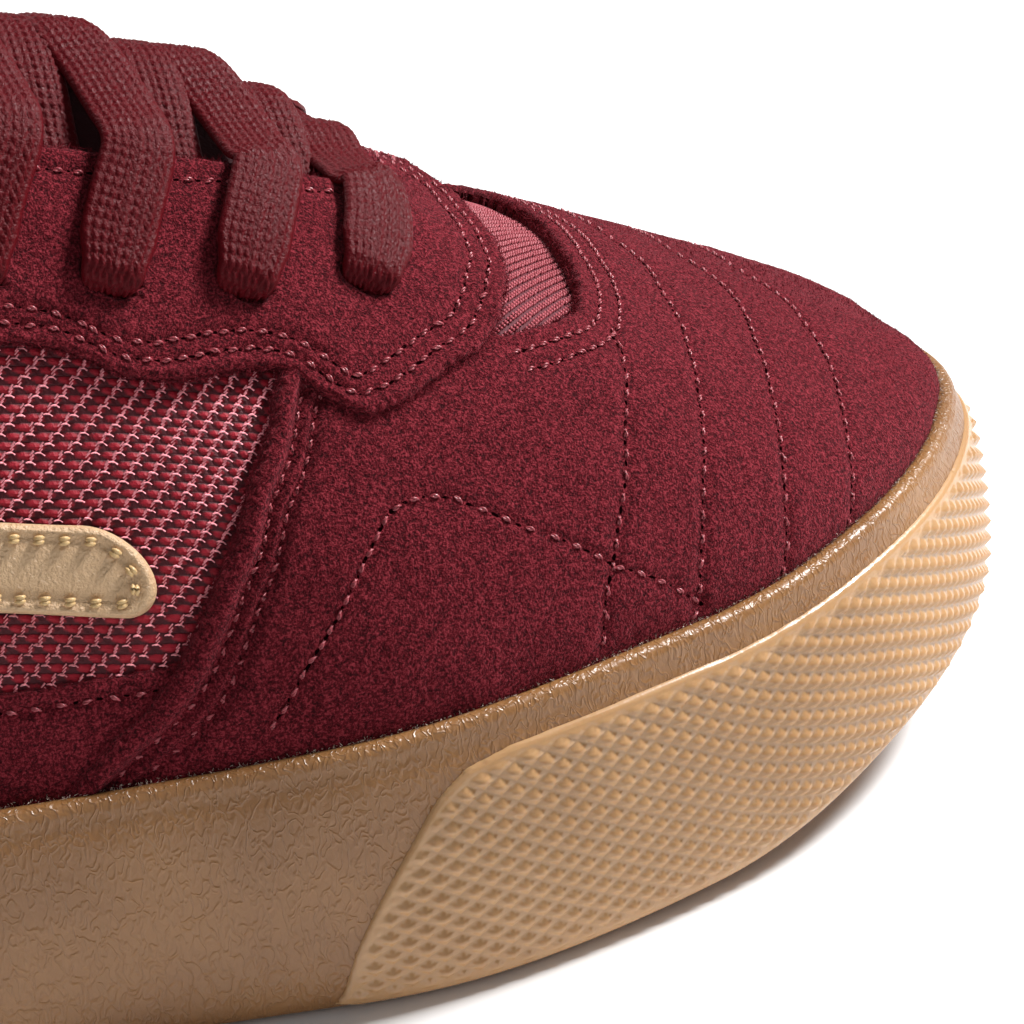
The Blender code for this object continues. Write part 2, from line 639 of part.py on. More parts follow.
# Tongue
def through(points, count):
    """An even run of points on a smooth open curve through a few."""
    points = np.asarray(points, float)
    slopes = np.zeros_like(points)
    slopes[1:-1] = (points[2:] - points[:-2])/2.0
    slopes[0] = points[1] - points[0]
    slopes[-1] = points[-1] - points[-2]
    spans = len(points) - 1
    place = np.linspace(0.0, spans, count)
    k = np.minimum(place.astype(int), spans - 1)
    t = (place - k)[:, None]
    return ((2*t**3 - 3*t**2 + 1)*points[k] + (t**3 - 2*t**2 + t)*slopes[k]
            + (-2*t**3 + 3*t**2)*points[k+1] + (t**3 - t**2)*slopes[k+1])


TONGUE_COUNT = 11
TONGUE_TAIL_ROWS = ((0.33, 0.80), (0.66, 0.96), (1.0, 1.06))  # share of the tail, width there
TONGUE_CLEAR = 0.0006
TONGUE_RIM_CLEAR = 0.0012    # more room where the tongue turns up past the throat's edges


def tongue_controls(x, bulge):
    """Five points across the tongue's top where the throat's edges reach x."""
    under = -(WALL_IN + TONGUE_CLEAR)
    rim = under - TONGUE_RIM_CLEAR
    outer_u = throat_section(x, OUTER_SPAN)
    inner_u = throat_section(x, INNER_SPAN)
    points = [over_last(outer_u, 0.84, under), over_last(outer_u, 0.975, rim)]
    edges = [over_last(inner_u, 0.975, rim), over_last(inner_u, 0.84, under)]
    crest = 0.5*(last_surface(outer_u, 1.0) + last_surface(inner_u, 1.0))
    crest = crest + np.array([0.30, 0.0, 0.95])*bulge
    shoulder_out = 0.42*points[1] + 0.58*crest + np.array([0.0, 0.0, 0.18])*bulge
    shoulder_in = 0.42*edges[0] + 0.58*crest + np.array([0.0, 0.0, 0.18])*bulge
    return np.array(points + [shoulder_out, crest, shoulder_in] + edges)


def tongue_front():
    """The tucked front of the tongue, under the front of the throat."""
    places = (9.3, 10.1, 11.0, 12.0, 13.0, 13.9, 14.7)
    under = -(WALL_IN + TONGUE_CLEAR)
    return np.array([over_last(u, 0.86, under) for u in places])


def tongue_rows():
    rows = [tongue_front()]
    rows += [tongue_controls(share*LENGTH, bulge) for share, bulge, _ in TONGUE_STATIONS]
    tail = rows[-1]
    middle = tail[3]
    for step, widen in TONGUE_TAIL_ROWS:
        shifted = (tail - middle)*np.array([1.0, widen, 1.0 - 0.35*step]) + middle
        rows.append(shifted + np.array([-0.80, 0.0, 0.42])*TONGUE_TAIL*step)
    return np.array([through(row, TONGUE_COUNT) for row in rows])


def grid_normals(grid):
    along = np.gradient(grid, axis=0)
    across = np.gradient(grid, axis=1)
    normal = np.cross(across, along)
    normal = normal / np.linalg.norm(normal, axis=-1, keepdims=True)
    return np.where(normal[..., 2:3] < 0, -normal, normal)


def build_tongue():
    top = tongue_rows()
    share = np.abs(np.linspace(-1.0, 1.0, TONGUE_COUNT))
    thick = TONGUE_EDGE + (TONGUE_THICK - TONGUE_EDGE)*(1.0 - share**2.5)
    ends = np.ones(len(top))
    ends[0], ends[-1] = 0.5, 0.55
    bottom = top - grid_normals(top)*(thick[None, :, None]*ends[:, None, None])
    return shell("tongue", top, bottom, False, "fabric")


# Laces: a straight bar at the front, then one joined crossing for each pair of eyelet rows
def bed_bulge(x):
    """Height of the laces' bed over the throat's edges where they reach x."""
    stations = [share*LENGTH for share, _, _ in reversed(TONGUE_STATIONS)]
    bulges = [bulge for _, _, bulge in reversed(TONGUE_STATIONS)]
    return along_stations(stations, bulges, x)


LACE_STEPS = 15
THROAT_LEAD = 0.004          # the laces cross the throat's edge this far in front of their eyelets
UNDER_STOP = 0.40            # how far across the tongue a lace runs before it dips under the eyestay
LACE_SLANT = 0.46            # eyelet rows by which a crossing lace leans forwards
FIRST_SLANT = 0.60           # the same for the first crossing, which meets the front bar


def lace_bed(row, c):
    """A point on the bed that the laces lie on. row counts eyelet rows, c runs from -1 to 1 across."""
    throat_x = eyelet_x(row) + THROAT_LEAD
    edge_at = 0.52
    half = 0.5*LACE_THICK + LACE_LIFT
    span = OUTER_SPAN if c < 0 else INNER_SPAN
    if abs(c) > edge_at:
        share = (abs(c) - edge_at)/(1.0 - edge_at)
        u_throat = throat_section(throat_x, span)
        u_eyelet = eyelet_section(row, span)
        u = u_throat + (u_eyelet - u_throat)*share
        v = 1.0 + (EYELET_LEVEL - 1.0)*share
        lap = float(panel_edges(np.array([u]))[2][0])*LAP_STEP
        return over_last(u, v, half + lap)
    controls = tongue_controls(throat_x, float(bed_bulge(throat_x)))[1:6]
    place = (c/edge_at + 1.0)/2.0
    fine = through(controls, 41)
    k = place*40.0
    first = int(min(39, math.floor(k)))
    point = fine[first] + (fine[first + 1] - fine[first])*(k - first)
    run = fine[first + 1] - fine[first]
    up = np.cross(run, np.array([-1.0, 0.0, 0.25]))
    up = up / np.linalg.norm(up)
    if up[2] < 0:
        up = -up
    edge_lift = WALL_IN + TONGUE_CLEAR + TONGUE_RIM_CLEAR + 2*GAP
    return point + up*(half + edge_lift*abs(c/edge_at)**2.2)


def lace_strip(name, path, widths):
    """A flat lace along rows of (row, c) bed places."""
    outer, inner = [], []
    for (row, c), width in zip(path, widths):
        offset = 0.5*width/EYELET_PITCH
        edge_a = lace_bed(row - offset, c)
        edge_b = lace_bed(row + offset, c)
        centre = lace_bed(row, c)
        ahead = lace_bed(row, min(0.999, c + 0.02)) - lace_bed(row, max(-0.999, c - 0.02))
        normal = np.cross(ahead, edge_b - edge_a)
        normal = normal / np.linalg.norm(normal)
        if normal[2] < 0:
            normal = -normal
        flat = 0.5*LACE_THICK*normal
        outer.append([edge_a + flat*0.55, centre + flat, edge_b + flat*0.55])
        inner.append([edge_a - flat*0.55, centre - flat*0.9, edge_b - flat*0.55])
    return shell(name, np.array(outer), np.array(inner), False, "lace")


def build_laces():
    """A straight bar at the front and a crossing for each later row, joined where they lap."""
    share = np.linspace(0.0, 1.0, LACE_STEPS)
    ends = np.clip(np.minimum(share, 1.0 - share)/0.08, 0.0, 1.0)
    widths = LACE_WIDTH*(0.55 + 0.45*ends)
    straight = [(0.0, -0.97 + 1.94*s) for s in share]
    for number in range(1, EYELET_ROWS):
        paths = [straight] if number == 1 else []
        slant = FIRST_SLANT if number == 1 else LACE_SLANT
        for side in (-1.0, 1.0):
            path = []
            for s in share:
                c = side*(0.97 - (0.97 + UNDER_STOP)*s)
                row = number - slant*float(np.clip((0.60 - c*side)/1.1, 0.0, 1.0))
                path.append((row, c))
            paths.append(path)
        crossing = lace_strip(f"lace_crossing_{number}", paths[0], widths)
        for extra, path in enumerate(paths[1:]):
            cut(crossing, lace_strip(f"strand_{number}_{extra}", path, widths), "UNION")


# Plain leather patches on the two sides
PATCH_PLACES = (("side_patch_outer", 5.35, 0.325), ("side_patch_inner", 18.65, 0.325))


def build_patches():
    for name, middle, level in PATCH_PLACES:
        metre_u = np.linalg.norm(on_closed(OUTLINE, OUTLINE_SLOPES, np.array([middle]), derivative=True))
        metre_v = np.linalg.norm(last_surface(middle, level + 0.05) - last_surface(middle, level - 0.05))/0.1
        outer, inner = [], []
        for a in np.sin(np.linspace(-1.0, 1.0, 11)*math.pi/2):
            straight = 1.0 - PATCH_WIDTH/PATCH_LENGTH
            end = max(0.0, (abs(a) - straight)/(1.0 - straight))
            reach = 0.5*PATCH_WIDTH*math.sqrt(max(0.04, 1.0 - end**2))
            u = middle + a*0.5*PATCH_LENGTH/metre_u
            levels = level + np.linspace(-1.0, 1.0, 3)*reach/metre_v
            steps = np.full(3, u)
            inner.append(over_last(steps, levels, -PANEL_STEP + GAP))
            outer.append(over_last(steps, levels, -PANEL_STEP + GAP + PATCH_THICK))
        shell(name, np.array(outer), np.array(inner), False, "leather")


def put_at_origin():
    """Hangs every object from an empty placed so that the origin is at the box's bottom centre."""
    bpy.context.view_layer.update()
    corners = []
    for obj in bpy.context.scene.objects:
        if obj.type == "MESH" and not obj.hide_render:
            corners += [tuple(vertex.co) for vertex in obj.data.vertices]
    corners = np.array(corners)
    low, high = corners.min(0), corners.max(0)
    frame = bpy.data.objects.new("shoe_frame", None)
    bpy.context.scene.collection.objects.link(frame)
    for obj in list(bpy.context.scene.objects):
        if obj is not frame:
            obj.parent = frame
    frame.location = (-(low[0] + high[0])/2, -(low[1] + high[1])/2, -low[2])


def main():
    clear_scene()
    build_cupsole()
    build_bumper()
    build_upper()
    build_insole()
    build_collar_pad()
    build_tongue()
    build_laces()
    build_patches()
    put_at_origin()


main()
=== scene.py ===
"""The looks of a right-foot skateboarding shoe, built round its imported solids.

Lengths are in millimetres until a mesh is made. u is the section number round the shoe (0 heel, 6 outer
side, 12 toe, 18 inner side) and v runs up a section from the sidewall (0) to the collar or throat (1).
"""

import math
from functools import partial

import bpy
import numpy as np
from mathutils import Matrix, Vector, kdtree


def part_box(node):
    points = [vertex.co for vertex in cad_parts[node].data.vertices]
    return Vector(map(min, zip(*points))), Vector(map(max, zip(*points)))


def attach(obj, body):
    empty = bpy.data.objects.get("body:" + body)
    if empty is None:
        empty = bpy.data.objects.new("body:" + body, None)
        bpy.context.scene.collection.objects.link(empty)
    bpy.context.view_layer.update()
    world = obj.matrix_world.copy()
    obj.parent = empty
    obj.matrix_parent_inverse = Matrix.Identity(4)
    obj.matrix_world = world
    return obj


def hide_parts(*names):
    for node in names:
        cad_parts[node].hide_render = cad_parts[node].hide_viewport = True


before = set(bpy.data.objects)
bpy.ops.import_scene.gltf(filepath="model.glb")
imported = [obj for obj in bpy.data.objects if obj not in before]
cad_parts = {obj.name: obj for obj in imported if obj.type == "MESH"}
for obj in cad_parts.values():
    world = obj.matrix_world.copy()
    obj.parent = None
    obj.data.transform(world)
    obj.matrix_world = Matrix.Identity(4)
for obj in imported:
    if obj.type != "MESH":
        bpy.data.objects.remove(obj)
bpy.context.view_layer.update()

# Driving sizes, the same as those of the solids
LENGTH = 293.5
BALL_WIDTH = 107.0
INSTEP_HEIGHT = 105.0
HEEL_WALL, BALL_WALL, TOE_WALL = 29.6, 33.6, 25.0
TOE_SPRING = 15.0
ARCH_RISE = 1.2
LIP = 1.9
WALL_BULGE = 1.5
SOLE_FLOOR = 9.0
BUMPER_DROP = 4.6
GAP = 0.3                    # clearance between pieces
INSOLE_INSET = 4.7
WALL_IN = 3.0
INSOLE_THICK = 4.5
TONGUE_THICK, TONGUE_EDGE, TONGUE_TAIL = 7.0, 3.0, 37.0
TONGUE_CLEAR, TONGUE_RIM_CLEAR = 0.6, 1.2
EYELET_PITCH, EYELET_FRONT, EYELET_LEVEL, EYELET_ROWS = 14.3, 0.699, 0.755, 6
THROAT_LEAD = 4.0
OUTER_SPAN, INNER_SPAN = (5.0, 9.4), (14.6, 19.0)
BUMPER_ENDS = (20/3, 17.0)

# Sections round the shoe, as in the solids
COLUMNS = ("along", "across", "top_along", "top_across", "top_height",
           "rise", "flare", "roll_out", "roll_down", "low_edge", "stay_edge")
SECTIONS = (
    ("heel", 0.000, 0.009, 0.031, 0.009, 0.819, 0.248, 0.033, 0.014, 0.133, 0.620, 0.800),
    ("heel_outer_back", 0.031, -0.224, 0.051, -0.136, 0.810, 0.238, 0.033, 0.019, 0.133, 0.600, 0.800),
    ("heel_outer", 0.095, -0.332, 0.102, -0.250, 0.752, 0.210, 0.024, 0.019, 0.124, 0.520, 0.780),
    ("ankle_outer", 0.204, -0.360, 0.204, -0.312, 0.676, 0.171, 0.010, 0.019, 0.114, 0.340, 0.720),
    ("waist_outer", 0.341, -0.374, 0.313, -0.300, 0.752, 0.171, 0.000, 0.038, 0.143, 0.170, 0.700),
    ("top_outer", 0.479, -0.421, 0.412, -0.201, 1.000, 0.210, -0.010, 0.076, 0.190, 0.165, 0.660),
    ("instep_outer", 0.597, -0.467, 0.518, -0.178, 0.938, 0.190, -0.014, 0.086, 0.152, 0.170, 0.630),
    ("ball_outer", 0.689, -0.506, 0.634, -0.157, 0.846, 0.162, -0.010, 0.114, 0.133, 0.580, 0.615),
    ("joint_outer", 0.800, -0.462, 0.709, -0.112, 0.767, 0.143, 0.000, 0.152, 0.095, 0.635, 0.655),
    ("toe_outer_3", 0.877, -0.390, 0.722, -0.061, 0.752, 0.095, 0.010, 0.248, 0.133, 0.690, 0.810),
    ("toe_outer_2", 0.947, -0.266, 0.727, -0.014, 0.747, 0.067, 0.010, 0.324, 0.171, 0.755, 0.875),
    ("toe_outer_1", 0.994, -0.101, 0.729, 0.019, 0.745, 0.048, 0.010, 0.381, 0.195, 0.790, 0.910),
    ("toe", 1.000, 0.054, 0.730, 0.037, 0.745, 0.048, 0.010, 0.381, 0.195, 0.800, 0.930),
    ("toe_inner_1", 0.993, 0.229, 0.728, 0.065, 0.743, 0.048, 0.010, 0.362, 0.181, 0.790, 0.910),
    ("toe_inner_2", 0.944, 0.348, 0.726, 0.093, 0.743, 0.067, 0.010, 0.305, 0.152, 0.755, 0.875),
    ("toe_inner_3", 0.872, 0.438, 0.719, 0.131, 0.748, 0.095, 0.010, 0.229, 0.114, 0.690, 0.810),
    ("joint_inner", 0.777, 0.493, 0.692, 0.182, 0.781, 0.143, 0.000, 0.143, 0.095, 0.635, 0.655),
    ("ball_inner", 0.664, 0.477, 0.613, 0.210, 0.852, 0.162, -0.010, 0.105, 0.133, 0.580, 0.615),
    ("instep_inner", 0.545, 0.421, 0.511, 0.224, 0.933, 0.190, -0.014, 0.076, 0.171, 0.170, 0.630),
    ("top_inner", 0.426, 0.360, 0.409, 0.238, 0.995, 0.210, -0.010, 0.057, 0.190, 0.165, 0.660),
    ("waist_inner", 0.307, 0.336, 0.307, 0.308, 0.752, 0.171, 0.000, 0.029, 0.143, 0.170, 0.700),
    ("ankle_inner", 0.170, 0.336, 0.191, 0.312, 0.686, 0.171, 0.014, 0.019, 0.114, 0.340, 0.720),
    ("heel_inner", 0.075, 0.308, 0.095, 0.250, 0.762, 0.210, 0.024, 0.019, 0.124, 0.520, 0.780),
    ("heel_inner_back", 0.020, 0.187, 0.048, 0.131, 0.812, 0.238, 0.033, 0.019, 0.133, 0.600, 0.800),
)
SPRING_STATIONS = ((0.0, 0.0), (0.680, 0.0), (0.800, 0.065), (0.903, 0.487), (1.015, 1.053))
ARCH_STATIONS = ((0.24, 0.0), (0.37, 1.0), (0.46, 1.0), (0.60, 0.0))
WALL_STATIONS = (0.0, 0.510, 0.784, 1.015)
INSET_STATIONS = ((0.0, 3.5), (0.682, 3.5), (0.852, 3.0), (1.015, 6.0))
# Share of the length, height of the tongue's crest and of the crest of the laces' bed
TONGUE_STATIONS = ((0.722, -4.8, 1.0), (0.707, 0.0, 2.2), (0.682, 4.5, 5.2), (0.650, 6.8, 7.0),
                   (0.610, 8.0, 8.0), (0.560, 8.8, 8.8), (0.500, 9.6, 9.6), (0.445, 10.5, 10.5))
COUNT = len(SECTIONS)


# Curves through the tables
def unit(vectors):
    return vectors/np.linalg.norm(vectors, axis=-1, keepdims=True)


def hermite(t, first, first_slope, last, last_slope):
    """The cubic between two values that has these slopes at its ends."""
    return ((2*t**3 - 3*t**2 + 1)*first + (t**3 - 2*t**2 + t)*first_slope
            + (-2*t**3 + 3*t**2)*last + (t**3 - t**2)*last_slope)


def column(name):
    return np.array([row[1 + COLUMNS.index(name)] for row in SECTIONS])


def closed_slopes(values):
    count = len(values)
    matrix = 4.0 * np.eye(count) + np.roll(np.eye(count), 1, 0) + np.roll(np.eye(count), -1, 0)
    return np.linalg.solve(matrix, 3.0 * (np.roll(values, -1, 0) - np.roll(values, 1, 0)))


def local_slopes(values):
    return (np.roll(values, -1, 0) - np.roll(values, 1, 0)) / 2.0


def on_closed(values, slopes, u, derivative=False):
    u = np.asarray(u, float) % len(values)
    first = np.floor(u).astype(int) % len(values)
    last = (first + 1) % len(values)
    t = (u - np.floor(u))[..., None]
    if derivative:
        return ((6*t**2 - 6*t)*values[first] + (3*t**2 - 4*t + 1)*slopes[first]
                + (-6*t**2 + 6*t)*values[last] + (3*t**2 - 2*t)*slopes[last])
    return hermite(t, values[first], slopes[first], values[last], slopes[last])


def along_stations(stations, values, x):
    stations = np.asarray(stations, float)
    values = np.asarray(values, float)
    x = np.clip(x, stations[0], stations[-1])
    steps = np.diff(stations)
    rates = np.diff(values) / steps
    slopes = np.zeros(len(stations))
    for k in range(1, len(stations) - 1):
        if rates[k-1] * rates[k] > 0.0:
            before = 2.0*steps[k] + steps[k-1]
            after = steps[k] + 2.0*steps[k-1]
            slopes[k] = (before + after) / (before/rates[k-1] + after/rates[k])
    slopes[0], slopes[-1] = rates[0], rates[-1]
    k = np.clip(np.searchsorted(stations, x) - 1, 0, len(steps) - 1)
    t = (x - stations[k]) / steps[k]
    return hermite(t, values[k], steps[k]*slopes[k], values[k + 1], steps[k]*slopes[k + 1])


def through_at(points, places):
    """Points of a smooth curve; place 0 is its first point, 1 the next and so on."""
    points = np.asarray(points, float)
    slopes = np.zeros_like(points)
    slopes[1:-1] = (points[2:] - points[:-2])/2.0
    slopes[0] = points[1] - points[0]
    slopes[-1] = points[-1] - points[-2]
    k = np.clip(places.astype(int), 0, len(points) - 2)
    return hermite((places - k)[:, None], points[k], slopes[k], points[k + 1], slopes[k + 1])


def through(points, count):
    return through_at(points, np.linspace(0.0, len(points) - 1, count))


OUTLINE = np.stack([column("along")*LENGTH, column("across")*BALL_WIDTH], 1)
OUTLINE_SLOPES = closed_slopes(OUTLINE)
TOP = np.stack([column("top_along")*LENGTH, column("top_across")*BALL_WIDTH,
                column("top_height")*INSTEP_HEIGHT], 1)
TOP_SLOPES = local_slopes(TOP)
HANDLES = np.stack([column(name) for name in ("rise", "flare", "roll_out", "roll_down")], 1)*INSTEP_HEIGHT
HANDLE_SLOPES = local_slopes(HANDLES)


def by_station(stations, x):
    return along_stations([s[0] for s in stations], [s[1] for s in stations], np.asarray(x)/LENGTH)


def sole_lift(x):
    return by_station(SPRING_STATIONS, x)*TOE_SPRING + by_station(ARCH_STATIONS, x)*ARCH_RISE


def wall_height(x):
    return along_stations(WALL_STATIONS, (HEEL_WALL, HEEL_WALL, BALL_WALL, TOE_WALL), np.asarray(x)/LENGTH)


def upper_inset(x):
    return by_station(INSET_STATIONS, x)


def outline(u):
    place = on_closed(OUTLINE, OUTLINE_SLOPES, u)
    run = on_closed(OUTLINE, OUTLINE_SLOPES, u, derivative=True)
    run = unit(run)
    return place, np.stack([run[..., 1], -run[..., 0]], -1)


def ring(u, inset, above_sole):
    place, out = outline(u)
    inset = np.broadcast_to(inset, place.shape[:-1])
    flat = place - out*inset[..., None]
    return np.concatenate([flat, (sole_lift(place[..., 0]) + above_sole)[..., None]], -1)


def section_points(u):
    place, out = outline(u)
    foot = ring(u, upper_inset(place[..., 0]), wall_height(place[..., 0]))
    top = on_closed(TOP, TOP_SLOPES, u)
    rise, flare, roll_out, roll_down = np.moveaxis(on_closed(HANDLES, HANDLE_SLOPES, u), -1, 0)
    away = (foot - top)*np.array([1.0, 1.0, 0.0])
    away = unit(away)
    out = np.concatenate([out, np.zeros(out.shape[:-1] + (1,))], -1)
    up = np.array([0.0, 0.0, 1.0])
    low = foot + up*rise[..., None] + out*flare[..., None]
    high = top + away*roll_out[..., None] - up*roll_down[..., None]
    return foot, low, high, top


def last_surface(u, v):
    u, v = np.broadcast_arrays(np.asarray(u, float), np.asarray(v, float))
    foot, low, high, top = section_points(u)
    t = v[..., None]
    return foot*(1 - t)**3 + 3*low*t*(1 - t)**2 + 3*high*t**2*(1 - t) + top*t**3


def last_normal(u, v, step=0.01):
    u, v = np.broadcast_arrays(np.asarray(u, float), np.asarray(v, float))
    low_v = np.clip(v - step, 0.0, 1.0 - 2*step)
    along = last_surface(u + step*4, v) - last_surface(u - step*4, v)
    upward = last_surface(u, low_v + 2*step) - last_surface(u, low_v)
    normal = np.cross(along, upward)
    return unit(normal)


def over_last(u, v, offset):
    offset = np.broadcast_to(offset, np.broadcast(u, v).shape)
    return last_surface(u, v) + last_normal(u, v)*offset[..., None]


def insole_edge(u):
    place, _ = outline(u)
    return upper_inset(place[..., 0]) + INSOLE_INSET + WALL_IN + 2*GAP


# The solids were moved so that the origin is at the bottom centre of their box; the insole tells how far
insole_low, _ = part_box("insole")
insole_u = np.arange(COUNT*3)/3
insole_plan = ring(insole_u, insole_edge(insole_u) + 0.2, 0.0)
SHIFT = np.array([insole_low.x*1000 - insole_plan[:, 0].min(),
                  insole_low.y*1000 - insole_plan[:, 1].min(), 0.0])


# A flat chart of the upper: each section is laid out straight, at its true length
CHART_U = np.linspace(0.0, COUNT, COUNT*20 + 1)
CHART_V = np.linspace(-0.10, 1.06, 59)


def make_chart():
    u, v = CHART_U[:, None], CHART_V[None]
    points = last_surface(u, v)
    lengths = np.linalg.norm(np.diff(points, axis=1), axis=-1)
    run = np.concatenate([np.zeros((len(CHART_U), 1)), np.cumsum(lengths, 1)], 1)
    at_top = np.array([np.interp(1.0, CHART_V, row) for row in run])
    at_foot = np.array([np.interp(0.0, CHART_V, row) for row in run])
    down = (at_top[:, None] - run)/(at_top - at_foot)[:, None]
    place, out = outline(CHART_U)
    top = on_closed(TOP, TOP_SLOPES, CHART_U)[:, :2]
    tangent = np.stack([-out[:, 1], out[:, 0]], 1)
    foot = last_surface(CHART_U, 0.0)[:, :2]
    lean = ((foot - top)*tangent).sum(1)
    reach = np.sqrt(np.maximum((at_top - at_foot)**2 - lean**2, 1.0))
    spoke = tangent*lean[:, None] + out*reach[:, None]
    return top[:, None] + spoke[:, None]*down[..., None]


CHART = make_chart()


def chart(u, v):
    """Chart place, in mm, of surface points."""
    u, v = np.broadcast_arrays(np.asarray(u, float) % COUNT, np.asarray(v, float))
    a = u/COUNT*(len(CHART_U) - 1)
    b = (v - CHART_V[0])/(CHART_V[-1] - CHART_V[0])*(len(CHART_V) - 1)
    i = np.clip(a.astype(int), 0, len(CHART_U) - 2)
    j = np.clip(np.floor(b).astype(int), 0, len(CHART_V) - 2)
    s, t = (a - i)[..., None], (b - j)[..., None]
    return (CHART[i, j]*(1 - s)*(1 - t) + CHART[i + 1, j]*s*(1 - t)
            + CHART[i, j + 1]*(1 - s)*t + CHART[i + 1, j + 1]*s*t)


def chart_tree():
    tree = kdtree.KDTree(len(CHART_U)*len(CHART_V))
    number = 0
    for row in CHART.tolist():
        for x, y in row:
            tree.insert((x, y, 0.0), number)
            number += 1
    tree.balance()
    return tree


TREE = chart_tree()


def unchart(points):
    """Surface places u, v of chart places."""
    nearest = np.array([TREE.find((x, y, 0.0))[1] for x, y in points.tolist()])
    u = CHART_U[nearest // len(CHART_V)].copy()
    v = CHART_V[nearest % len(CHART_V)].copy()
    for _ in range(7):
        here = chart(u, v)
        along = (chart(u + 0.01, v) - chart(u - 0.01, v))/0.02
        upward = (chart(u, v + 0.004) - chart(u, v - 0.004))/0.008
        miss = points - here
        span = along[:, 0]*upward[:, 1] - along[:, 1]*upward[:, 0]
        span = np.where(np.abs(span) < 1e-9, 1e-9, span)
        du = (miss[:, 0]*upward[:, 1] - miss[:, 1]*upward[:, 0])/span
        dv = (along[:, 0]*miss[:, 1] - along[:, 1]*miss[:, 0])/span
        u = u + np.clip(du, -0.2, 0.2)
        v = np.clip(v + np.clip(dv, -0.05, 0.05), CHART_V[0], CHART_V[-1])
    return u % COUNT, v


# Flat meshes in the chart or in another plane, cut along the edge of a region
def stepped(start, stop, spacing):
    places = [start]
    while places[-1] < stop:
        places.append(places[-1] + spacing(places[-1]))
    return np.array(places)


def lattice(x, y):
    """Points and triangles of a grid, with its diagonals turned in a checker."""
    grid = np.stack(np.meshgrid(x, y, indexing="ij"), -1).reshape(-1, 2)
    i, j = np.meshgrid(np.arange(len(x) - 1), np.arange(len(y) - 1), indexing="ij")
    i, j = i.ravel(), j.ravel()
    a, b = i*len(y) + j, (i + 1)*len(y) + j
    c, d = b + 1, a + 1
    even = ((i + j) % 2 == 0)[:, None]
    first = np.where(even, np.stack([a, b, c], 1), np.stack([a, b, d], 1))
    second = np.where(even, np.stack([a, c, d], 1), np.stack([b, c, d], 1))
    return grid, np.concatenate([first, second])


def keep_only(points, triangles, wanted):
    """Drops the triangles that aren't wanted, and the points that nothing uses."""
    triangles = triangles[wanted]
    used, back = np.unique(triangles, return_inverse=True)
    return points[used], back.reshape(-1, 3), used


def split(points, triangles, depth, level):
    """Cuts the triangles that cross a level of depth."""
    above = depth > level
    number = above[triangles].sum(1)
    whole = triangles[(number == 0) | (number == 3)]
    mixed = triangles[(number == 1) | (number == 2)]
    if len(mixed) == 0:
        return points, triangles, depth
    flags = above[mixed]
    odd = np.where((flags.sum(1) == 1)[:, None], flags, ~flags).argmax(1)
    turn = (odd[:, None] + np.arange(3)) % 3
    t = np.take_along_axis(mixed, turn, 1)
    edges = np.concatenate([t[:, [0, 1]], t[:, [0, 2]]])
    edges = np.sort(edges, 1)
    unique, back = np.unique(edges, axis=0, return_inverse=True)
    back = back.reshape(-1)
    a, b = unique[:, 0], unique[:, 1]
    share = np.clip((level - depth[a])/(depth[b] - depth[a]), 0.02, 0.98)[:, None]
    made = points[a]*(1 - share) + points[b]*share
    near, far = len(points) + back[:len(t)], len(points) + back[len(t):]
    new = np.concatenate([np.stack([t[:, 0], near, far], 1),
                          np.stack([near, t[:, 1], t[:, 2]], 1),
                          np.stack([near, t[:, 2], far], 1)])
    return (np.concatenate([points, made]), np.concatenate([whole, new]),
            np.concatenate([depth, np.full(len(made), float(level))]))


def cut_out(points, triangles, depth, levels, margin):
    """Keeps what is deeper than the first level, cut along it and along the deeper levels."""
    points, triangles, used = keep_only(points, triangles, (depth[triangles] > -margin).any(1))
    depth = depth[used]
    for level in levels:
        points, triangles, depth = split(points, triangles, depth, level)
        if level == levels[0]:
            deeper = depth[triangles].max(1) > level + 1e-9
            points, triangles, used = keep_only(points, triangles, deeper)
            depth = depth[used]
    return points, triangles, depth


def edge_walls(triangles, depth):
    """The points on the cut edge, and a wall of triangles from them to copies added after all points."""
    edges = np.sort(np.concatenate([triangles[:, [0, 1]], triangles[:, [1, 2]], triangles[:, [2, 0]]]), 1)
    unique, number = np.unique(edges, axis=0, return_counts=True)
    rim = unique[number == 1]
    rim = rim[(depth[rim] < 1e-6).all(1)]
    top, back = np.unique(rim, return_inverse=True)
    back = back.reshape(-1, 2) + len(depth)
    return top, np.concatenate([np.stack([rim[:, 0], rim[:, 1], back[:, 0]], 1),
                                np.stack([rim[:, 1], back[:, 1], back[:, 0]], 1)])


def segment_distance(points, line, closed=False, reach=9.5):
    """Distance to a polyline, as far as the reach."""
    line = np.asarray(line, float)
    ends = np.roll(line, -1, 0) if closed else line[1:]
    starts = line if closed else line[:-1]
    best = np.full(len(points), float(reach))
    for first in range(0, len(starts), 24):
        a, b = starts[first:first + 24], ends[first:first + 24]
        low = np.minimum(a, b).min(0) - reach
        high = np.maximum(a, b).max(0) + reach
        near = np.nonzero(((points > low) & (points < high)).all(1))[0]
        if not len(near):
            continue
        run = b - a
        size = np.maximum((run**2).sum(1), 1e-12)
        away = points[near][:, None] - a
        t = np.clip((away*run).sum(-1)/size, 0.0, 1.0)
        gap = ((away - t[..., None]*run)**2).sum(-1).min(1)
        best[near] = np.minimum(best[near], np.sqrt(gap))
    return best


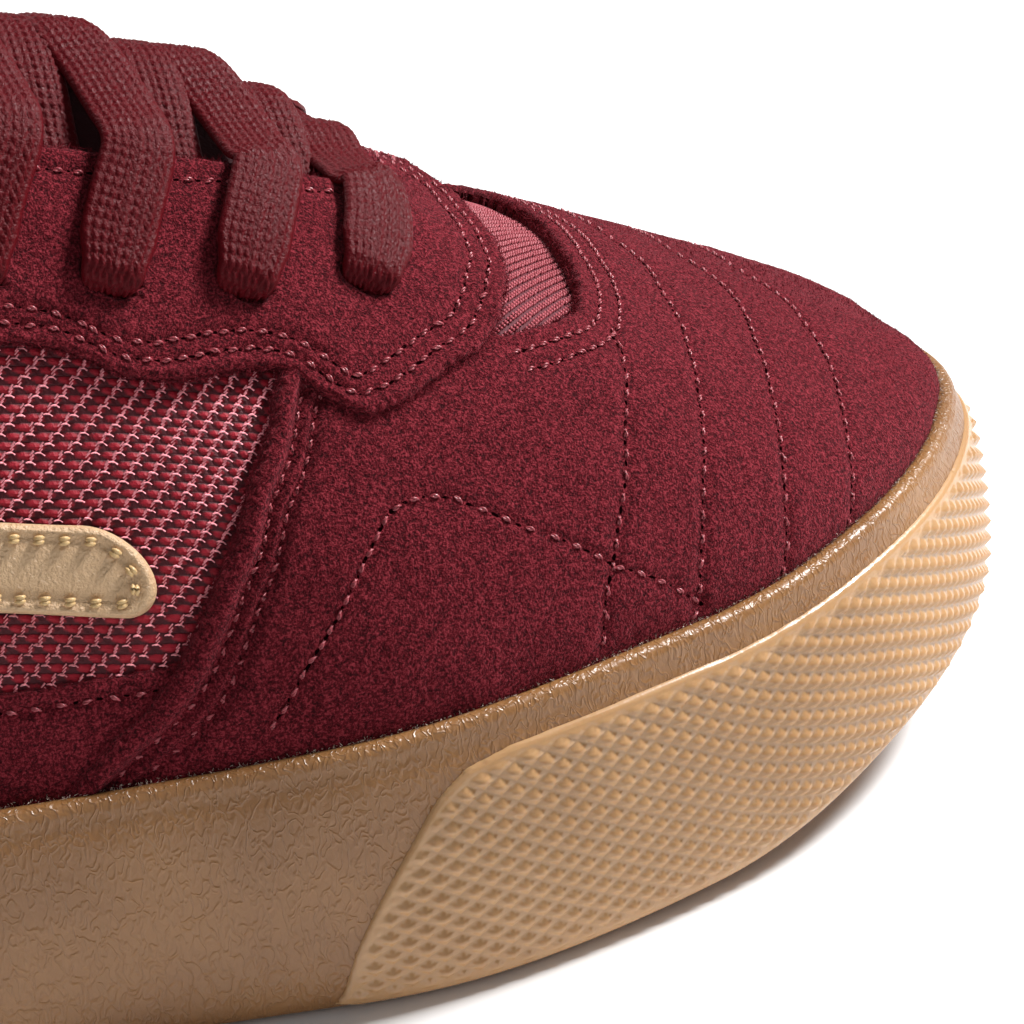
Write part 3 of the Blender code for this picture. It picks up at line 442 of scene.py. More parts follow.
def inside(points, loop, chunk=20000):
    loop = np.asarray(loop, float)
    nxt = np.roll(loop, -1, 0)
    result = []
    for k in range(0, len(points), chunk):
        p = points[k:k + chunk]
        over = (loop[None, :, 1] > p[:, None, 1]) != (nxt[None, :, 1] > p[:, None, 1])
        rise = np.where(nxt[:, 1] == loop[:, 1], 1e-12, nxt[:, 1] - loop[:, 1])
        cross = loop[:, 0] + (p[:, 1, None] - loop[:, 1])/rise*(nxt[:, 0] - loop[:, 0])
        result.append((over & (p[:, 0, None] < cross)).sum(1) % 2 == 1)
    return np.concatenate(result)


def depth_in(points, loop):
    """How deep points lie inside a closed loop; negative outside."""
    gap = segment_distance(points, loop, True)
    return np.where(inside(points, loop), gap, -gap)


def evenly(line, step, closed=False):
    """Points at an even step along a line, and the directions there."""
    line = np.asarray(line, float)
    if closed:
        line = np.concatenate([line, line[:1]])
    size = np.linalg.norm(np.diff(line, axis=0), axis=1)
    run = np.concatenate([[0.0], np.cumsum(size)])
    count = max(2, int(round(run[-1]/step)) + 1)
    at = np.linspace(0.0, run[-1], count)
    if closed:
        at = at[:-1]
    found = np.stack([np.interp(at, run, line[:, k]) for k in range(line.shape[1])], 1)
    ahead = np.stack([np.interp(np.minimum(at + 0.2, run[-1]), run, line[:, k])
                      - np.interp(np.maximum(at - 0.2, 0.0), run, line[:, k])
                      for k in range(line.shape[1])], 1)
    return found, ahead/np.maximum(np.linalg.norm(ahead, axis=1, keepdims=True), 1e-9)


def soft_curve(points, count=12):
    """A smooth curve through a few points."""
    points = np.asarray(points, float)
    padded = np.concatenate([2*points[:1] - points[1:2], points, 2*points[-1:] - points[-2:-1]])
    t = np.linspace(0.0, 1.0, count, endpoint=False)[:, None]
    parts = []
    for k in range(1, len(padded) - 2):
        a, b, c, d = padded[k-1:k+3]
        parts.append(0.5*((2*b) + (c - a)*t + (2*a - 5*b + 4*c - d)*t**2 + (3*b - a - 3*c + d)*t**3))
    return np.concatenate(parts + [points[-1:]])


def sideways(line, offset, closed=False):
    """The line moved sideways, to its left when positive."""
    found, ahead = evenly(line, 0.8, closed)
    return found + np.stack([-ahead[:, 1], ahead[:, 0]], 1)*offset


def ruffle(points, size, seed):
    """Smooth noise from -1 to 1 over points of any dimension, with features of the given size."""
    rng = np.random.default_rng(seed)
    total = np.zeros(len(points))
    for k in range(7):
        wave = rng.normal(size=points.shape[1])
        wave = wave/np.linalg.norm(wave)*rng.uniform(0.7, 1.5)*2*math.pi/size
        total += np.sin(points@wave + rng.uniform(0, 2*math.pi))
    return total/4.0


# Meshes
def make_piece(name, points, faces, slot, look, smooth=True, uv=None):
    """A mesh piece from points in millimetres; it rides on the shoe's one body."""
    points = (np.asarray(points, float) + SHIFT)*0.001
    mesh = bpy.data.meshes.new(name)
    faces = np.asarray(faces)
    mesh.vertices.add(len(points))
    mesh.vertices.foreach_set("co", points.astype(np.float32).ravel())
    mesh.loops.add(faces.size)
    mesh.loops.foreach_set("vertex_index", faces.astype(np.int32).ravel())
    mesh.polygons.add(len(faces))
    mesh.polygons.foreach_set("loop_start", np.arange(0, faces.size, faces.shape[1], dtype=np.int32))
    mesh.update(calc_edges=True)
    mesh.validate()
    if uv is not None:
        layer = mesh.uv_layers.new(name="chart")
        layer.data.foreach_set("uv", np.asarray(uv, float)[faces.ravel()].astype(np.float32).ravel())
    if smooth:
        mesh.shade_smooth()
    mesh.materials.append(look)
    made = bpy.data.objects.new(name, mesh)
    bpy.context.scene.collection.objects.link(made)
    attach(made, "root")
    return made


def grid_faces(rows, columns, closed=True):
    """Four-sided faces between rows of points, each row closed or open."""
    i, j = np.meshgrid(np.arange(rows - 1), np.arange(columns if closed else columns - 1), indexing="ij")
    i, j = i.ravel(), j.ravel()
    n, m = i + 1, (j + 1) % columns
    return np.stack([i*columns + j, n*columns + j, n*columns + m, i*columns + m], 1)


def joined(parts):
    """Several (points, faces) with the same face size as one."""
    starts = np.cumsum([0] + [len(points) for points, _ in parts])
    return (np.concatenate([points for points, _ in parts]),
            np.concatenate([faces + start for (_, faces), start in zip(parts, starts)]))


# Looks
class Look:
    """A material whose nodes are added one line at a time."""

    def __init__(self, name):
        self.material = bpy.data.materials.new(name)
        self.material.use_nodes = True
        self.nodes = self.material.node_tree.nodes
        self.links = self.material.node_tree.links
        self.shader = self.nodes["Principled BSDF"]
        self.place = self.nodes.new("ShaderNodeTexCoord").outputs["Object"]

    def put(self, socket, value):
        if isinstance(value, bpy.types.NodeSocket):
            self.links.new(value, socket)
        else:
            socket.default_value = value

    def surface(self, **values):
        for key, value in values.items():
            self.put(self.shader.inputs[key.replace("_", " ")], value)

    def add(self, kind, **values):
        node = self.nodes.new("ShaderNode" + kind)
        for key, value in values.items():
            self.put(node.inputs[key], value)
        return node.outputs[0]

    def noise(self, scale, detail=2.0, rough=0.5, distortion=0.0, place=None):
        return self.add("TexNoise", Vector=place or self.place, Scale=scale, Detail=detail,
                        Roughness=rough, Distortion=distortion)

    def ramp(self, value, stops):
        node = self.nodes.new("ShaderNodeValToRGB")
        self.links.new(value, node.inputs[0])
        while len(node.color_ramp.elements) < len(stops):
            node.color_ramp.elements.new(0.5)
        for element, (at, colour) in zip(node.color_ramp.elements, stops):
            element.position = at
            element.color = (*colour, 1.0)
        return node.outputs[0]

    def sums(self, operation, first, second=0.0):
        node = self.nodes.new("ShaderNodeMath")
        node.operation = operation
        self.put(node.inputs[0], first)
        self.put(node.inputs[1], second)
        return node.outputs[0]

    def plus(self, first, second):
        return self.sums("ADD", first, second)

    def times(self, first, second):
        return self.sums("MULTIPLY", first, second)

    def bump(self, height, strength, distance):
        return self.add("Bump", Strength=strength, Distance=distance, Height=height)


def suede_look(name, low, high, pale):
    """Short nap: a fine speckle of dark and light, with a faint sheen."""
    look = Look(name)
    fine = look.noise(3500.0, 2.0, 0.7)
    clump = look.noise(1800.0, 2.0, 0.6)
    speck = look.plus(look.times(fine, 0.65), look.times(clump, 0.35))
    colour = look.ramp(speck, ((0.39, low), (0.50, high), (0.61, pale)))
    look.surface(Base_Color=colour, Roughness=0.95, Specular_IOR_Level=0.08)
    look.surface(Sheen_Weight=0.16, Sheen_Roughness=0.5, Sheen_Tint=(1.0, 0.32, 0.38, 1.0))
    look.surface(Normal=look.bump(speck, 0.9, 0.0007))
    return look.material


def plain_look(name, colour, roughness, bump=0.0, scale=900.0, sheen=0.0, spec=0.4):
    look = Look(name)
    look.surface(Base_Color=(*colour, 1.0), Roughness=roughness, Specular_IOR_Level=spec)
    if sheen:
        look.surface(Sheen_Weight=sheen, Sheen_Roughness=0.4, Sheen_Tint=(1.0, 0.5, 0.55, 1.0))
    if bump:
        look.surface(Normal=look.bump(look.noise(scale, 3.0, 0.6), bump, 0.0004))
    return look.material


def rubber_look(name, low, high, grain):
    """Gum rubber. grain is how strongly the fine wormy relief stands out."""
    look = Look(name)
    tone = look.ramp(look.noise(38.0, 3.0, 0.55), ((0.35, low), (0.65, high)))
    look.surface(Base_Color=tone, Roughness=0.27, Specular_IOR_Level=0.55)
    look.surface(Subsurface_Weight=0.15, Subsurface_Radius=(1.0, 0.5, 0.25), Subsurface_Scale=0.0016)
    if grain:
        tall = look.add("Mapping", Vector=look.place, Scale=(1.0, 1.0, 0.55))
        field = look.noise(880.0, 1.0, 0.5, 0.7, tall)
        away = look.sums("ABSOLUTE", look.sums("SUBTRACT", field, 0.5))
        worms = look.sums("MAXIMUM", look.sums("SUBTRACT", 1.0, look.times(away, 11.0)), 0.0)
        fine = look.noise(1500.0, 2.0, 0.5, 0.3, tall)
        height = look.plus(look.times(worms, 0.6), look.times(fine, 0.8))
        look.surface(Roughness=0.36, Normal=look.bump(height, grain, 0.00028))
    else:
        look.surface(Normal=look.bump(look.noise(1500.0, 2.0, 0.5), 0.08, 0.0003))
    return look.material


def woven_look(name, way, middle, pitch, row, dark, red):
    """A checker of raised red pads and gaps painted dark as shade, laid out on the chart like the pale
    threads.
    """
    look = Look(name)
    chart_place = look.nodes.new("ShaderNodeTexCoord").outputs["UV"]
    split_node = look.nodes.new("ShaderNodeSeparateXYZ")
    look.links.new(chart_place, split_node.inputs[0])
    x, y = split_node.outputs[0], split_node.outputs[1]

    def turned(direction, size):
        total = look.plus(look.times(x, float(direction[0])), look.times(y, float(direction[1])))
        return look.sums("DIVIDE", look.sums("SUBTRACT", total, float(middle@direction)), size)

    level = turned(np.array([way[1], -way[0]]), row)
    half = look.times(look.sums("FLOORED_MODULO", look.sums("FLOOR", level), 2.0), 0.5)
    across = look.sums("FRACT", look.sums("SUBTRACT", turned(way, pitch), half))
    up = look.sums("PINGPONG", look.sums("FRACT", level), 0.5)
    pad = look.sums("PINGPONG", look.sums("SUBTRACT", across, 0.22), 0.5)
    shape = look.times(look.times(pad, 2.0), look.sums("SQRT", look.times(up, 2.0)))
    yarn = look.noise(2800.0, 2.0, 0.6)
    speckled = look.plus(shape, look.times(look.sums("SUBTRACT", yarn, 0.5), 0.5))
    # The gaps between the pads get the dark colour: painted shade.
    colour = look.ramp(speckled, ((0.20, dark), (0.55, red)))
    look.surface(Base_Color=colour, Roughness=0.6, Specular_IOR_Level=0.3)
    look.surface(Sheen_Weight=0.15, Sheen_Roughness=0.4, Sheen_Tint=(1.0, 0.4, 0.45, 1.0))
    look.surface(Normal=look.bump(look.plus(shape, look.times(yarn, 0.4)), 0.8, 0.0004))
    return look.material


SUEDE = suede_look("suede", (0.026, 0.0014, 0.0030), (0.104, 0.0058, 0.0108), (0.260, 0.026, 0.038))
NAP = plain_look("suede_fibres", (0.150, 0.010, 0.018), 0.8, sheen=0.12, spec=0.10)
THREAD = plain_look("thread", (0.36, 0.060, 0.075), 0.32, 0.3, 3000.0, spec=0.6)
# near-black: painted shade in the needle holes
HOLE_SHADE = plain_look("painted_needle_shade", (0.004, 0.0005, 0.0008), 1.0, spec=0.0)
# near-black: painted shade inside the eyelets
EYELET_SHADE = plain_look("painted_eyelet_shade", (0.003, 0.0004, 0.0006), 1.0, spec=0.0)
PALE = plain_look("fabric_thread", (0.98, 0.35, 0.40), 0.34, 0.3, 3000.0, spec=0.4)
RIB_THREAD = plain_look("rib_thread", (0.42, 0.080, 0.100), 0.38, 0.3, 3000.0, spec=0.4)
RUBBER = rubber_look("sidewall_rubber", (0.235, 0.106, 0.036), (0.310, 0.148, 0.051), 0.52)
BUMPER = rubber_look("bumper_rubber", (0.44, 0.245, 0.110), (0.52, 0.302, 0.142), 0.0)
LACE = plain_look("lace", (0.094, 0.0034, 0.0066), 0.36, 0.6, 2800.0, spec=0.10)
LINING = plain_look("lining", (0.055, 0.005, 0.010), 0.9, 0.6, 1800.0, 0.15)
TONGUE = plain_look("tongue_fabric", (0.045, 0.003, 0.006), 0.8, 0.8, 1800.0, 0.05)
LEATHER = plain_look("leather", (0.60, 0.390, 0.215), 0.38, 1.0, 2100.0, spec=0.55)
GOLD = plain_look("patch_thread", (0.64, 0.43, 0.20), 0.32, 0.3, 3000.0)
GLUE = plain_look("glue_line", (0.50, 0.40, 0.34), 0.45, 0.6, 2200.0)


# Panels of the upper. Their edges are (u, v) points on the outer side, mirrored to the inner side.
STAY_EDGE = ((0.0, 0.800), (1.0, 0.800), (2.0, 0.780), (3.0, 0.720), (4.0, 0.700), (5.0, 0.668),
             (5.6, 0.658), (6.17, 0.644), (6.29, 0.625), (6.36, 0.606), (6.45, 0.594), (6.58, 0.594),
             (6.73, 0.606), (6.88, 0.613), (6.99, 0.600), (7.06, 0.560), (7.12, 0.534), (7.18, 0.525),
             (7.28, 0.531), (7.42, 0.550), (7.61, 0.581), (7.83, 0.613), (8.01, 0.656), (8.27, 0.713),
             (8.78, 0.781), (9.20, 0.825), (9.78, 0.869), (10.72, 0.905), (11.4, 0.925))
VAMP_REAR = ((5.40, -0.080), (5.65, 0.050), (5.85, 0.120), (6.03, 0.188), (6.22, 0.269), (6.32, 0.312),
             (6.45, 0.363), (6.60, 0.438), (6.76, 0.506), (6.92, 0.594), (7.05, 0.650))
VAMP_UNDER = ((7.20, 0.650), (7.50, 0.660), (7.78, 0.665), (7.90, 0.640))
VAMP_FRONT = ((7.97, 0.628), (8.29, 0.644), (8.86, 0.669), (9.38, 0.713), (9.90, 0.752), (10.42, 0.781),
              (11.2, 0.800))
LOW_EDGE = ((0.0, 0.620), (1.0, 0.600), (2.0, 0.520), (3.0, 0.340), (3.6, 0.210), (4.2, 0.172), (5.0, 0.168),
            (5.54, 0.172), (5.94, 0.176), (6.35, 0.180))
SINGLE_ROW = ((6.28, 0.062), (6.48, 0.150), (6.68, 0.225), (6.88, 0.306), (7.05, 0.370), (7.14, 0.384),
              (7.23, 0.386), (7.30, 0.375), (7.37, 0.352), (7.49, 0.300), (7.63, 0.245), (7.74, 0.184),
              (7.89, 0.122), (8.05, 0.031))
TOE_ROWS = (
    ((7.61, 0.040), (7.67, 0.138), (7.73, 0.181), (7.84, 0.263), (8.02, 0.356), (8.12, 0.406), (8.28, 0.463),
     (8.44, 0.506), (8.77, 0.581), (8.96, 0.619)),
    ((8.00, 0.015), (8.10, 0.138), (8.24, 0.238), (8.47, 0.338), (8.79, 0.431), (9.20, 0.519), (9.65, 0.588),
     (10.28, 0.656), (11.2, 0.700), (12.0, 0.710)),
    ((8.54, 0.015), (8.72, 0.175), (8.95, 0.275), (9.28, 0.375), (9.65, 0.450), (10.15, 0.519),
     (11.02, 0.585), (12.0, 0.610)),
    ((9.12, 0.015), (9.25, 0.125), (9.52, 0.244), (9.85, 0.330), (10.59, 0.444), (11.3, 0.490),
     (12.0, 0.505)),
)
ROUND = 0.9                  # rounding of a panel's cut edge
FABRIC_OFFSET = -1.6         # how far the woven ground lies under the form
CRESCENT_OFFSET = -2.3
FINE_GRID, COARSE_GRID = 0.6, 1.7   # the panels' mesh where the photograph looks, and elsewhere


def mirrored(points):
    return [(COUNT - u, v) for u, v in reversed(points)]


def on_chart(points):
    """Chart line of (u, v) points, smoothly joined."""
    curve = soft_curve(points)
    return chart(curve[:, 0], curve[:, 1])


def foot_line(first, last, v=-0.07):
    u = np.linspace(first, last, int(abs(last - first)*20) + 2)
    return chart(u, np.full(len(u), v))


stay_line = on_chart(list(STAY_EDGE) + mirrored(STAY_EDGE))
STAY_LOOP = stay_line[:-1]
THROAT_LOOP = chart(np.linspace(0.0, COUNT, COUNT*16 + 1)[:-1], np.full(COUNT*16, 1.0))
rear_outer, rear_inner = on_chart(VAMP_REAR), on_chart(mirrored(VAMP_REAR))
front_line = on_chart(list(VAMP_FRONT) + mirrored(VAMP_FRONT))
VAMP_LOOP = np.concatenate([rear_outer, on_chart(VAMP_UNDER), front_line, on_chart(mirrored(VAMP_UNDER)),
                            rear_inner, foot_line(COUNT - 5.40, 5.40)])
low_line = on_chart([(u - COUNT, v) for u, v in mirrored(LOW_EDGE[1:])] + list(LOW_EDGE))
LOW_LOOP = np.concatenate([low_line, foot_line(6.35, -6.35)])
QUARTER_LOOP = np.concatenate([
    chart(np.linspace(-7.3, 7.3, 200), np.full(200, 0.86)), foot_line(7.3, -7.3, 0.08)])
CRESCENT_LOOP = np.concatenate([
    chart(np.linspace(7.25, 16.75, 200), np.full(200, 0.965)), foot_line(16.75, 7.25, 0.55)])


def fine_between(low, high):
    return lambda place: FINE_GRID if low < place < high else COARSE_GRID


FULL_GRID = lattice(stepped(-58.0, 302.0, fine_between(150.0, 296.0)),
                    stepped(-110.0, 110.0, fine_between(-math.inf, 12.0)))


def eyelet_x(row):
    return EYELET_FRONT*LENGTH - EYELET_PITCH*row


def sections_by_x(level, span):
    u = np.linspace(span[0], span[1], 241)
    x = last_surface(u, level)[:, 0]
    order = np.argsort(x)
    return x[order], u[order]


EYELET_LINES = {span: sections_by_x(EYELET_LEVEL, span) for span in (OUTER_SPAN, INNER_SPAN)}
THROAT_LINES = {span: sections_by_x(1.0, span) for span in (OUTER_SPAN, INNER_SPAN)}


def eyelet_section(row, span):
    return float(np.interp(eyelet_x(row), *EYELET_LINES[span]))


def throat_section(x, span):
    return float(np.interp(x, *THROAT_LINES[span]))


EYELETS = [(eyelet_section(row, span), EYELET_LEVEL) for span in (OUTER_SPAN, INNER_SPAN)
           for row in range(EYELET_ROWS)]
EYELET_PLACES = chart(np.array([e[0] for e in EYELETS]), np.array([e[1] for e in EYELETS]))
HOLE_RADIUS = 2.7


def beside(u, first, last):
    """1 between two section numbers and their mirror images, with soft ends of 0.3."""
    mirror = np.where(u > COUNT/2, COUNT - u, u)
    return np.clip((mirror - first)/0.3 + 0.5, 0.0, 1.0)*np.clip((last - mirror)/0.3 + 0.5, 0.0, 1.0)


class Panel:
    """A cut panel on the upper: where its top lies, its stitch rows and its mesh."""

    slot = "suede"
    look = SUEDE

    def __init__(self, name, depth, top, skirt, rows, seed):
        self.name, self.depth, self.top, self.skirt = name, depth, top, skirt
        self.rows, self.seed = rows, seed

    def relief(self, places, u):
        """Offset of the panel's top over the shoe's form, without its rounded edge."""
        waves = 0.10*ruffle(places, 14.0, self.seed) + 0.06*ruffle(places, 3.2, self.seed + 1)
        height = self.top(u) + waves
        for line, sink, width, _ in self.rows:
            gap = segment_distance(places, line, reach=4.0)
            height = height - sink*np.exp(-(gap/width)**2)
        return height

    def build(self, grid):
        points, triangles = grid
        ragged = 0.13*ruffle(points, 2.0, self.seed) + 0.16*ruffle(points, 7.0, self.seed + 2)
        levels = (0.0, 0.2, ROUND*0.55, ROUND)
        points, triangles, depth = cut_out(points, triangles, self.depth(points) + ragged, levels, 2.5)
        u, v = unchart(points)
        near = np.clip(1.0 - depth/ROUND, 0.0, 1.0)
        drop = ROUND*(1.0 - np.sqrt(1.0 - near**2))
        shaggy = 0.16*ruffle(points, 1.5, self.seed + 3)*np.clip(1.0 - depth/2.6, 0.0, 1.0)
        height = self.relief(points, u) + shaggy - drop
        normal = last_normal(u, v)
        place = last_surface(u, v) + normal*height[:, None]
        edge, walls = edge_walls(triangles, depth)
        self.rim = place[edge], normal[edge]
        self.surface = place, normal, triangles
        low = place[edge] - normal[edge]*self.skirt
        make_piece(self.name, np.concatenate([place, low]), np.concatenate([triangles, walls]), self.slot,
                   self.look, uv=np.concatenate([points, points[edge]])*0.01)


def stay_depth(points):
    depth = np.minimum(depth_in(points, STAY_LOOP), -depth_in(points, THROAT_LOOP))
    for centre in EYELET_PLACES:
        depth = np.minimum(depth, np.linalg.norm(points - centre, axis=1) - HOLE_RADIUS)
    return depth


def stay_top(u):
    return 0.35 + 0.85*beside(u, 7.0, 17.0)


# Rows in a panel: their line, how deep and how wide they sink, and the stitch pitch, None for a bare fold
throat_line = chart(np.linspace(4.8, 19.2, 300), np.full(300, 1.0))
STAY_ROWS = [(sideways(stay_line, 2.4), 0.40, 0.75, 2.4), (sideways(stay_line, 4.6), 0.40, 0.75, 2.4),
             (sideways(throat_line, -3.0), 0.30, 0.7, 2.4)]
VAMP_ROWS = [(sideways(line, offset), sink, width, 2.6) for line in (rear_outer, rear_inner)
             for offset, sink, width in ((-3.0, 1.15, 0.62), (-4.9, 1.0, 0.60))]
VAMP_ROWS += [(sideways(line, -1.6), -0.55, 1.2, None) for line in (rear_outer, rear_inner)]
VAMP_ROWS += [(sideways(front_line, offset), 0.35, 0.7, 2.1) for offset in (-2.6, -5.2)]
VAMP_ROWS += [(on_chart(row), 0.30, 0.7, 2.9) for row in (SINGLE_ROW, mirrored(SINGLE_ROW))]
VAMP_ROWS += [(on_chart(row), 0.30, 0.8, 2.9) for row in (TOE_ROWS[0], mirrored(TOE_ROWS[0]))]
VAMP_ROWS += [(on_chart(list(row) + mirrored(row)[1:]), 0.35, 0.9, 2.9) for row in TOE_ROWS[1:]]
LOW_ROWS = [(sideways(low_line, -2.2), 0.35, 0.7, 2.6)]

vamp = Panel("vamp", partial(depth_in, loop=VAMP_LOOP), lambda u: 0.15, 2.6, VAMP_ROWS, 3)
stay = Panel("eyestay_and_collar_band", stay_depth, stay_top, 3.2, STAY_ROWS, 5)
low = Panel("mudguard_and_heel_counter", partial(depth_in, loop=LOW_LOOP), lambda u: -0.55, 2.0, LOW_ROWS, 7)
for panel in (vamp, stay, low):
    panel.build(FULL_GRID)


# Stitches: two plies twisted round each other, and between them small near-black ovals of painted shade where
# the needle holes are
STITCH_REACH = 0.55
PLY = 0.15


def tubes(paths, radius, sides=5):
    """Round rods along paths of shape (number, steps, 3), closed at both ends by narrowing."""
    number, count, _ = paths.shape
    ahead = np.gradient(paths, axis=1)
    ahead = ahead/np.maximum(np.linalg.norm(ahead, axis=-1, keepdims=True), 1e-9)
    guide = np.where(np.abs(ahead[..., 2:3]) > 0.8, np.array([1.0, 0.0, 0.0]), np.array([0.0, 0.0, 1.0]))
    side = np.cross(ahead, guide)
    side = side/np.linalg.norm(side, axis=-1, keepdims=True)
    other = np.cross(ahead, side)
    turn = 2*math.pi*np.arange(sides)/sides
    radius = np.broadcast_to(radius, (number, count))[..., None, None]
    loops = (paths[:, :, None] + radius*(side[:, :, None]*np.cos(turn)[:, None]
                                         + other[:, :, None]*np.sin(turn)[:, None]))
    faces = grid_faces(count, sides)
    starts = np.arange(number)[:, None, None]*count*sides
    return loops.reshape(-1, 3), (faces[None] + starts).reshape(-1, 4)


def frames_along(places, ahead):
    """Surface points and their along, side and normal directions for chart places and directions."""
    u, v = unchart(places)
    back_u, back_v = unchart(places - ahead*0.3)
    on_u, on_v = unchart(places + ahead*0.3)
    centre = last_surface(u, v)
    along = last_surface(on_u, on_v) - last_surface(back_u, back_v)
    along = along/np.linalg.norm(along, axis=1, keepdims=True)
    normal = last_normal(u, v)
    side = np.cross(normal, along)
    return u, v, centre, along, side, normal


def sew(panel, name, thread, shade_look):
    plies, shade_marks = [], []
    t = np.linspace(-1.0, 1.0, 6)
    thick = PLY*np.sqrt(np.clip(1.12 - t**2, 0.0, 1.0))
    rng = np.random.default_rng(panel.seed)
    for line, sink, width, pitch in panel.rows:
        if pitch is None:
            continue
        places, ahead = evenly(line, pitch/2)
        seen = panel.depth(places) > 1.0
        for first, bucket in ((0, plies), (1, shade_marks)):
            some, to = places[first::2][seen[first::2]], ahead[first::2][seen[first::2]]
            if not len(some):
                continue
            some = some + rng.normal(size=some.shape)*0.05
            u, v, centre, along, side, normal = frames_along(some, to)
            keep = v > 0.012
            base = centre + normal*panel.relief(some, u)[:, None]
            base, along, side, normal = base[keep], along[keep], side[keep], normal[keep]
            if bucket is plies:
                slope = rng.normal(size=(len(base), 1))*0.12
                for phase in (0.0, math.pi):
                    wind = phase + t*2.0 + 0.6
                    lift = 0.02 + 0.26*(1.0 - t**2) + PLY*0.8*np.sin(wind)
                    cross = PLY*0.9*np.cos(wind) + slope*t
                    path = (base[:, None] + along[:, None]*(t*STITCH_REACH)[None, :, None]
                            + side[:, None]*cross[..., None] + normal[:, None]*lift[None, :, None])
                    bucket.append(tubes(path, thick, 4))
            else:
                bucket.append(shade_ovals(base, along, side, normal, rng))
    make_piece(name + "_stitches", *joined(plies), panel.slot, thread)
    make_piece(name + "_painted_hole_shade", *joined(shade_marks), panel.slot, shade_look)


def shade_ovals(base, along, side, normal, rng):
    """Small flat near-black ovals of painted shade, where the needle holes are."""
    turn = 2*math.pi*np.arange(10)/10
    size = rng.uniform(0.8, 1.15, size=(len(base), 1))
    oval = (along[:, None]*(0.55*size*np.cos(turn))[..., None]
            + side[:, None]*(0.36*size*np.sin(turn))[..., None])
    rim = base[:, None] + oval - normal[:, None]*0.02
    centre = base + normal*0.09
    points = np.concatenate([centre[:, None], rim], 1)
    k = np.arange(10)
    fan = np.stack([np.zeros(10, int), k + 1, (k + 1) % 10 + 1], 1)
    faces = fan[None] + (np.arange(len(base))*11)[:, None, None]
    return points.reshape(-1, 3), faces.reshape(-1, 3)


# Loose fibres of the suede: a nap over the panels and fuzz along their cut edges
def fibres(base, normal, heading, length, width, rng):
    """Thin triangles that start at the base points and lean from the normal towards the heading."""
    count = len(base)
    size = length*rng.uniform(0.6, 1.3, size=(count, 1))
    ahead = normal*rng.uniform(0.35, 0.9, size=(count, 1)) + heading + rng.normal(size=(count, 3))*0.45
    ahead = ahead/np.linalg.norm(ahead, axis=1, keepdims=True)
    side = np.cross(ahead, rng.normal(size=(count, 3)))
    side = side/np.linalg.norm(side, axis=1, keepdims=True)*width*0.5
    points = np.stack([base - side, base + side, base + ahead*size], 1)
    return points.reshape(-1, 3), np.arange(3*count).reshape(-1, 3)


def nap(panel, name, number, rim_number):
    place, normal, triangles = panel.surface
    rng = np.random.default_rng(panel.seed + 40)
    corners = place[triangles]
    area = np.linalg.norm(np.cross(corners[:, 1] - corners[:, 0], corners[:, 2] - corners[:, 0]), axis=1)
    middle = corners.mean(1)
    seen = (middle[:, 0] > 150.0) & (middle[:, 1] < 14.0)
    weight = area*np.where(seen, 1.0, 0.22)
    chosen = rng.choice(len(triangles), number, p=weight/weight.sum())
    share = rng.dirichlet((1.0, 1.0, 1.0), number)
    base = (corners[chosen]*share[..., None]).sum(1)
    up = (normal[triangles[chosen]]*share[..., None]).sum(1)
    turn = 2.0*ruffle(base, 22.0, panel.seed + 9)[:, None]
    guide = np.cross(up, np.array([0.2, 0.9, 0.3]))
    guide = guide/np.linalg.norm(guide, axis=1, keepdims=True)
    heading = guide*np.cos(turn) + np.cross(up, guide)*np.sin(turn)
    parts = [fibres(base - up*0.05, up, heading*0.7, 0.42, 0.10, rng)]
    edge, edge_normal = panel.rim
    weight = np.where((edge[:, 0] > 150.0) & (edge[:, 1] < 14.0), 1.0, 0.25)
    chosen = rng.choice(len(edge), rim_number, p=weight/weight.sum())
    base = edge[chosen] + rng.normal(size=(rim_number, 3))*0.18 - edge_normal[chosen]*rng.uniform(
        -0.45, 0.6, size=(rim_number, 1))
    parts.append(fibres(base, edge_normal[chosen]*0.3, rng.normal(size=(rim_number, 3))*0.6, 0.80, 0.09, rng))
    make_piece(name, *joined(parts), panel.slot, NAP, smooth=False)


nap(vamp, "vamp_nap", 36000, 14000)
nap(stay, "eyestay_nap", 20000, 16000)
nap(low, "mudguard_nap", 10000, 5000)


sew(vamp, "vamp", THREAD, HOLE_SHADE)
sew(stay, "eyestay", THREAD, HOLE_SHADE)
sew(low, "mudguard", THREAD, HOLE_SHADE)


# Woven ground under the panels and the pale threads on it
def ground(name, loop, offset, spacing, look):
    low_corner, high_corner = loop.min(0) - 2, loop.max(0) + 2
    points, triangles = lattice(np.arange(low_corner[0], high_corner[0], spacing),
                                np.arange(low_corner[1], high_corner[1], spacing))
    wanted = (depth_in(points, loop)[triangles] > 0).all(1)
    points, triangles, _ = keep_only(points, triangles, wanted)
    u, v = unchart(points)
    make_piece(name, over_last(u, v, offset), triangles, "fabric", look, uv=points)


MARK_PITCH, MARK_ROW = 2.65, 1.18
ROW_WAY = chart(6.72, 0.55) - chart(6.12, 0.5625)
ROW_WAY = ROW_WAY/np.linalg.norm(ROW_WAY)
RIB_WAY = chart(9.51, 0.7688) - chart(8.27, 0.7188)
RIB_WAY = RIB_WAY/np.linalg.norm(RIB_WAY)
QUARTER_MIDDLE = (QUARTER_LOOP.min(0) + QUARTER_LOOP.max(0))/2
# The first of the two colours is painted shade for the gaps between the woven pads.
WOVEN = woven_look("woven_ground", ROW_WAY, QUARTER_MIDDLE, MARK_PITCH, MARK_ROW,
                   (0.062, 0.0028, 0.007), (0.38, 0.009, 0.024))
RIBBED = plain_look("ribbed_ground", (0.10, 0.005, 0.014), 0.7, 0.5, 2500.0, 0.15)
ground("fabric_quarters", QUARTER_LOOP, FABRIC_OFFSET, 1.3, WOVEN)
ground("fabric_crescent", CRESCENT_LOOP, CRESCENT_OFFSET, 1.3, RIBBED)


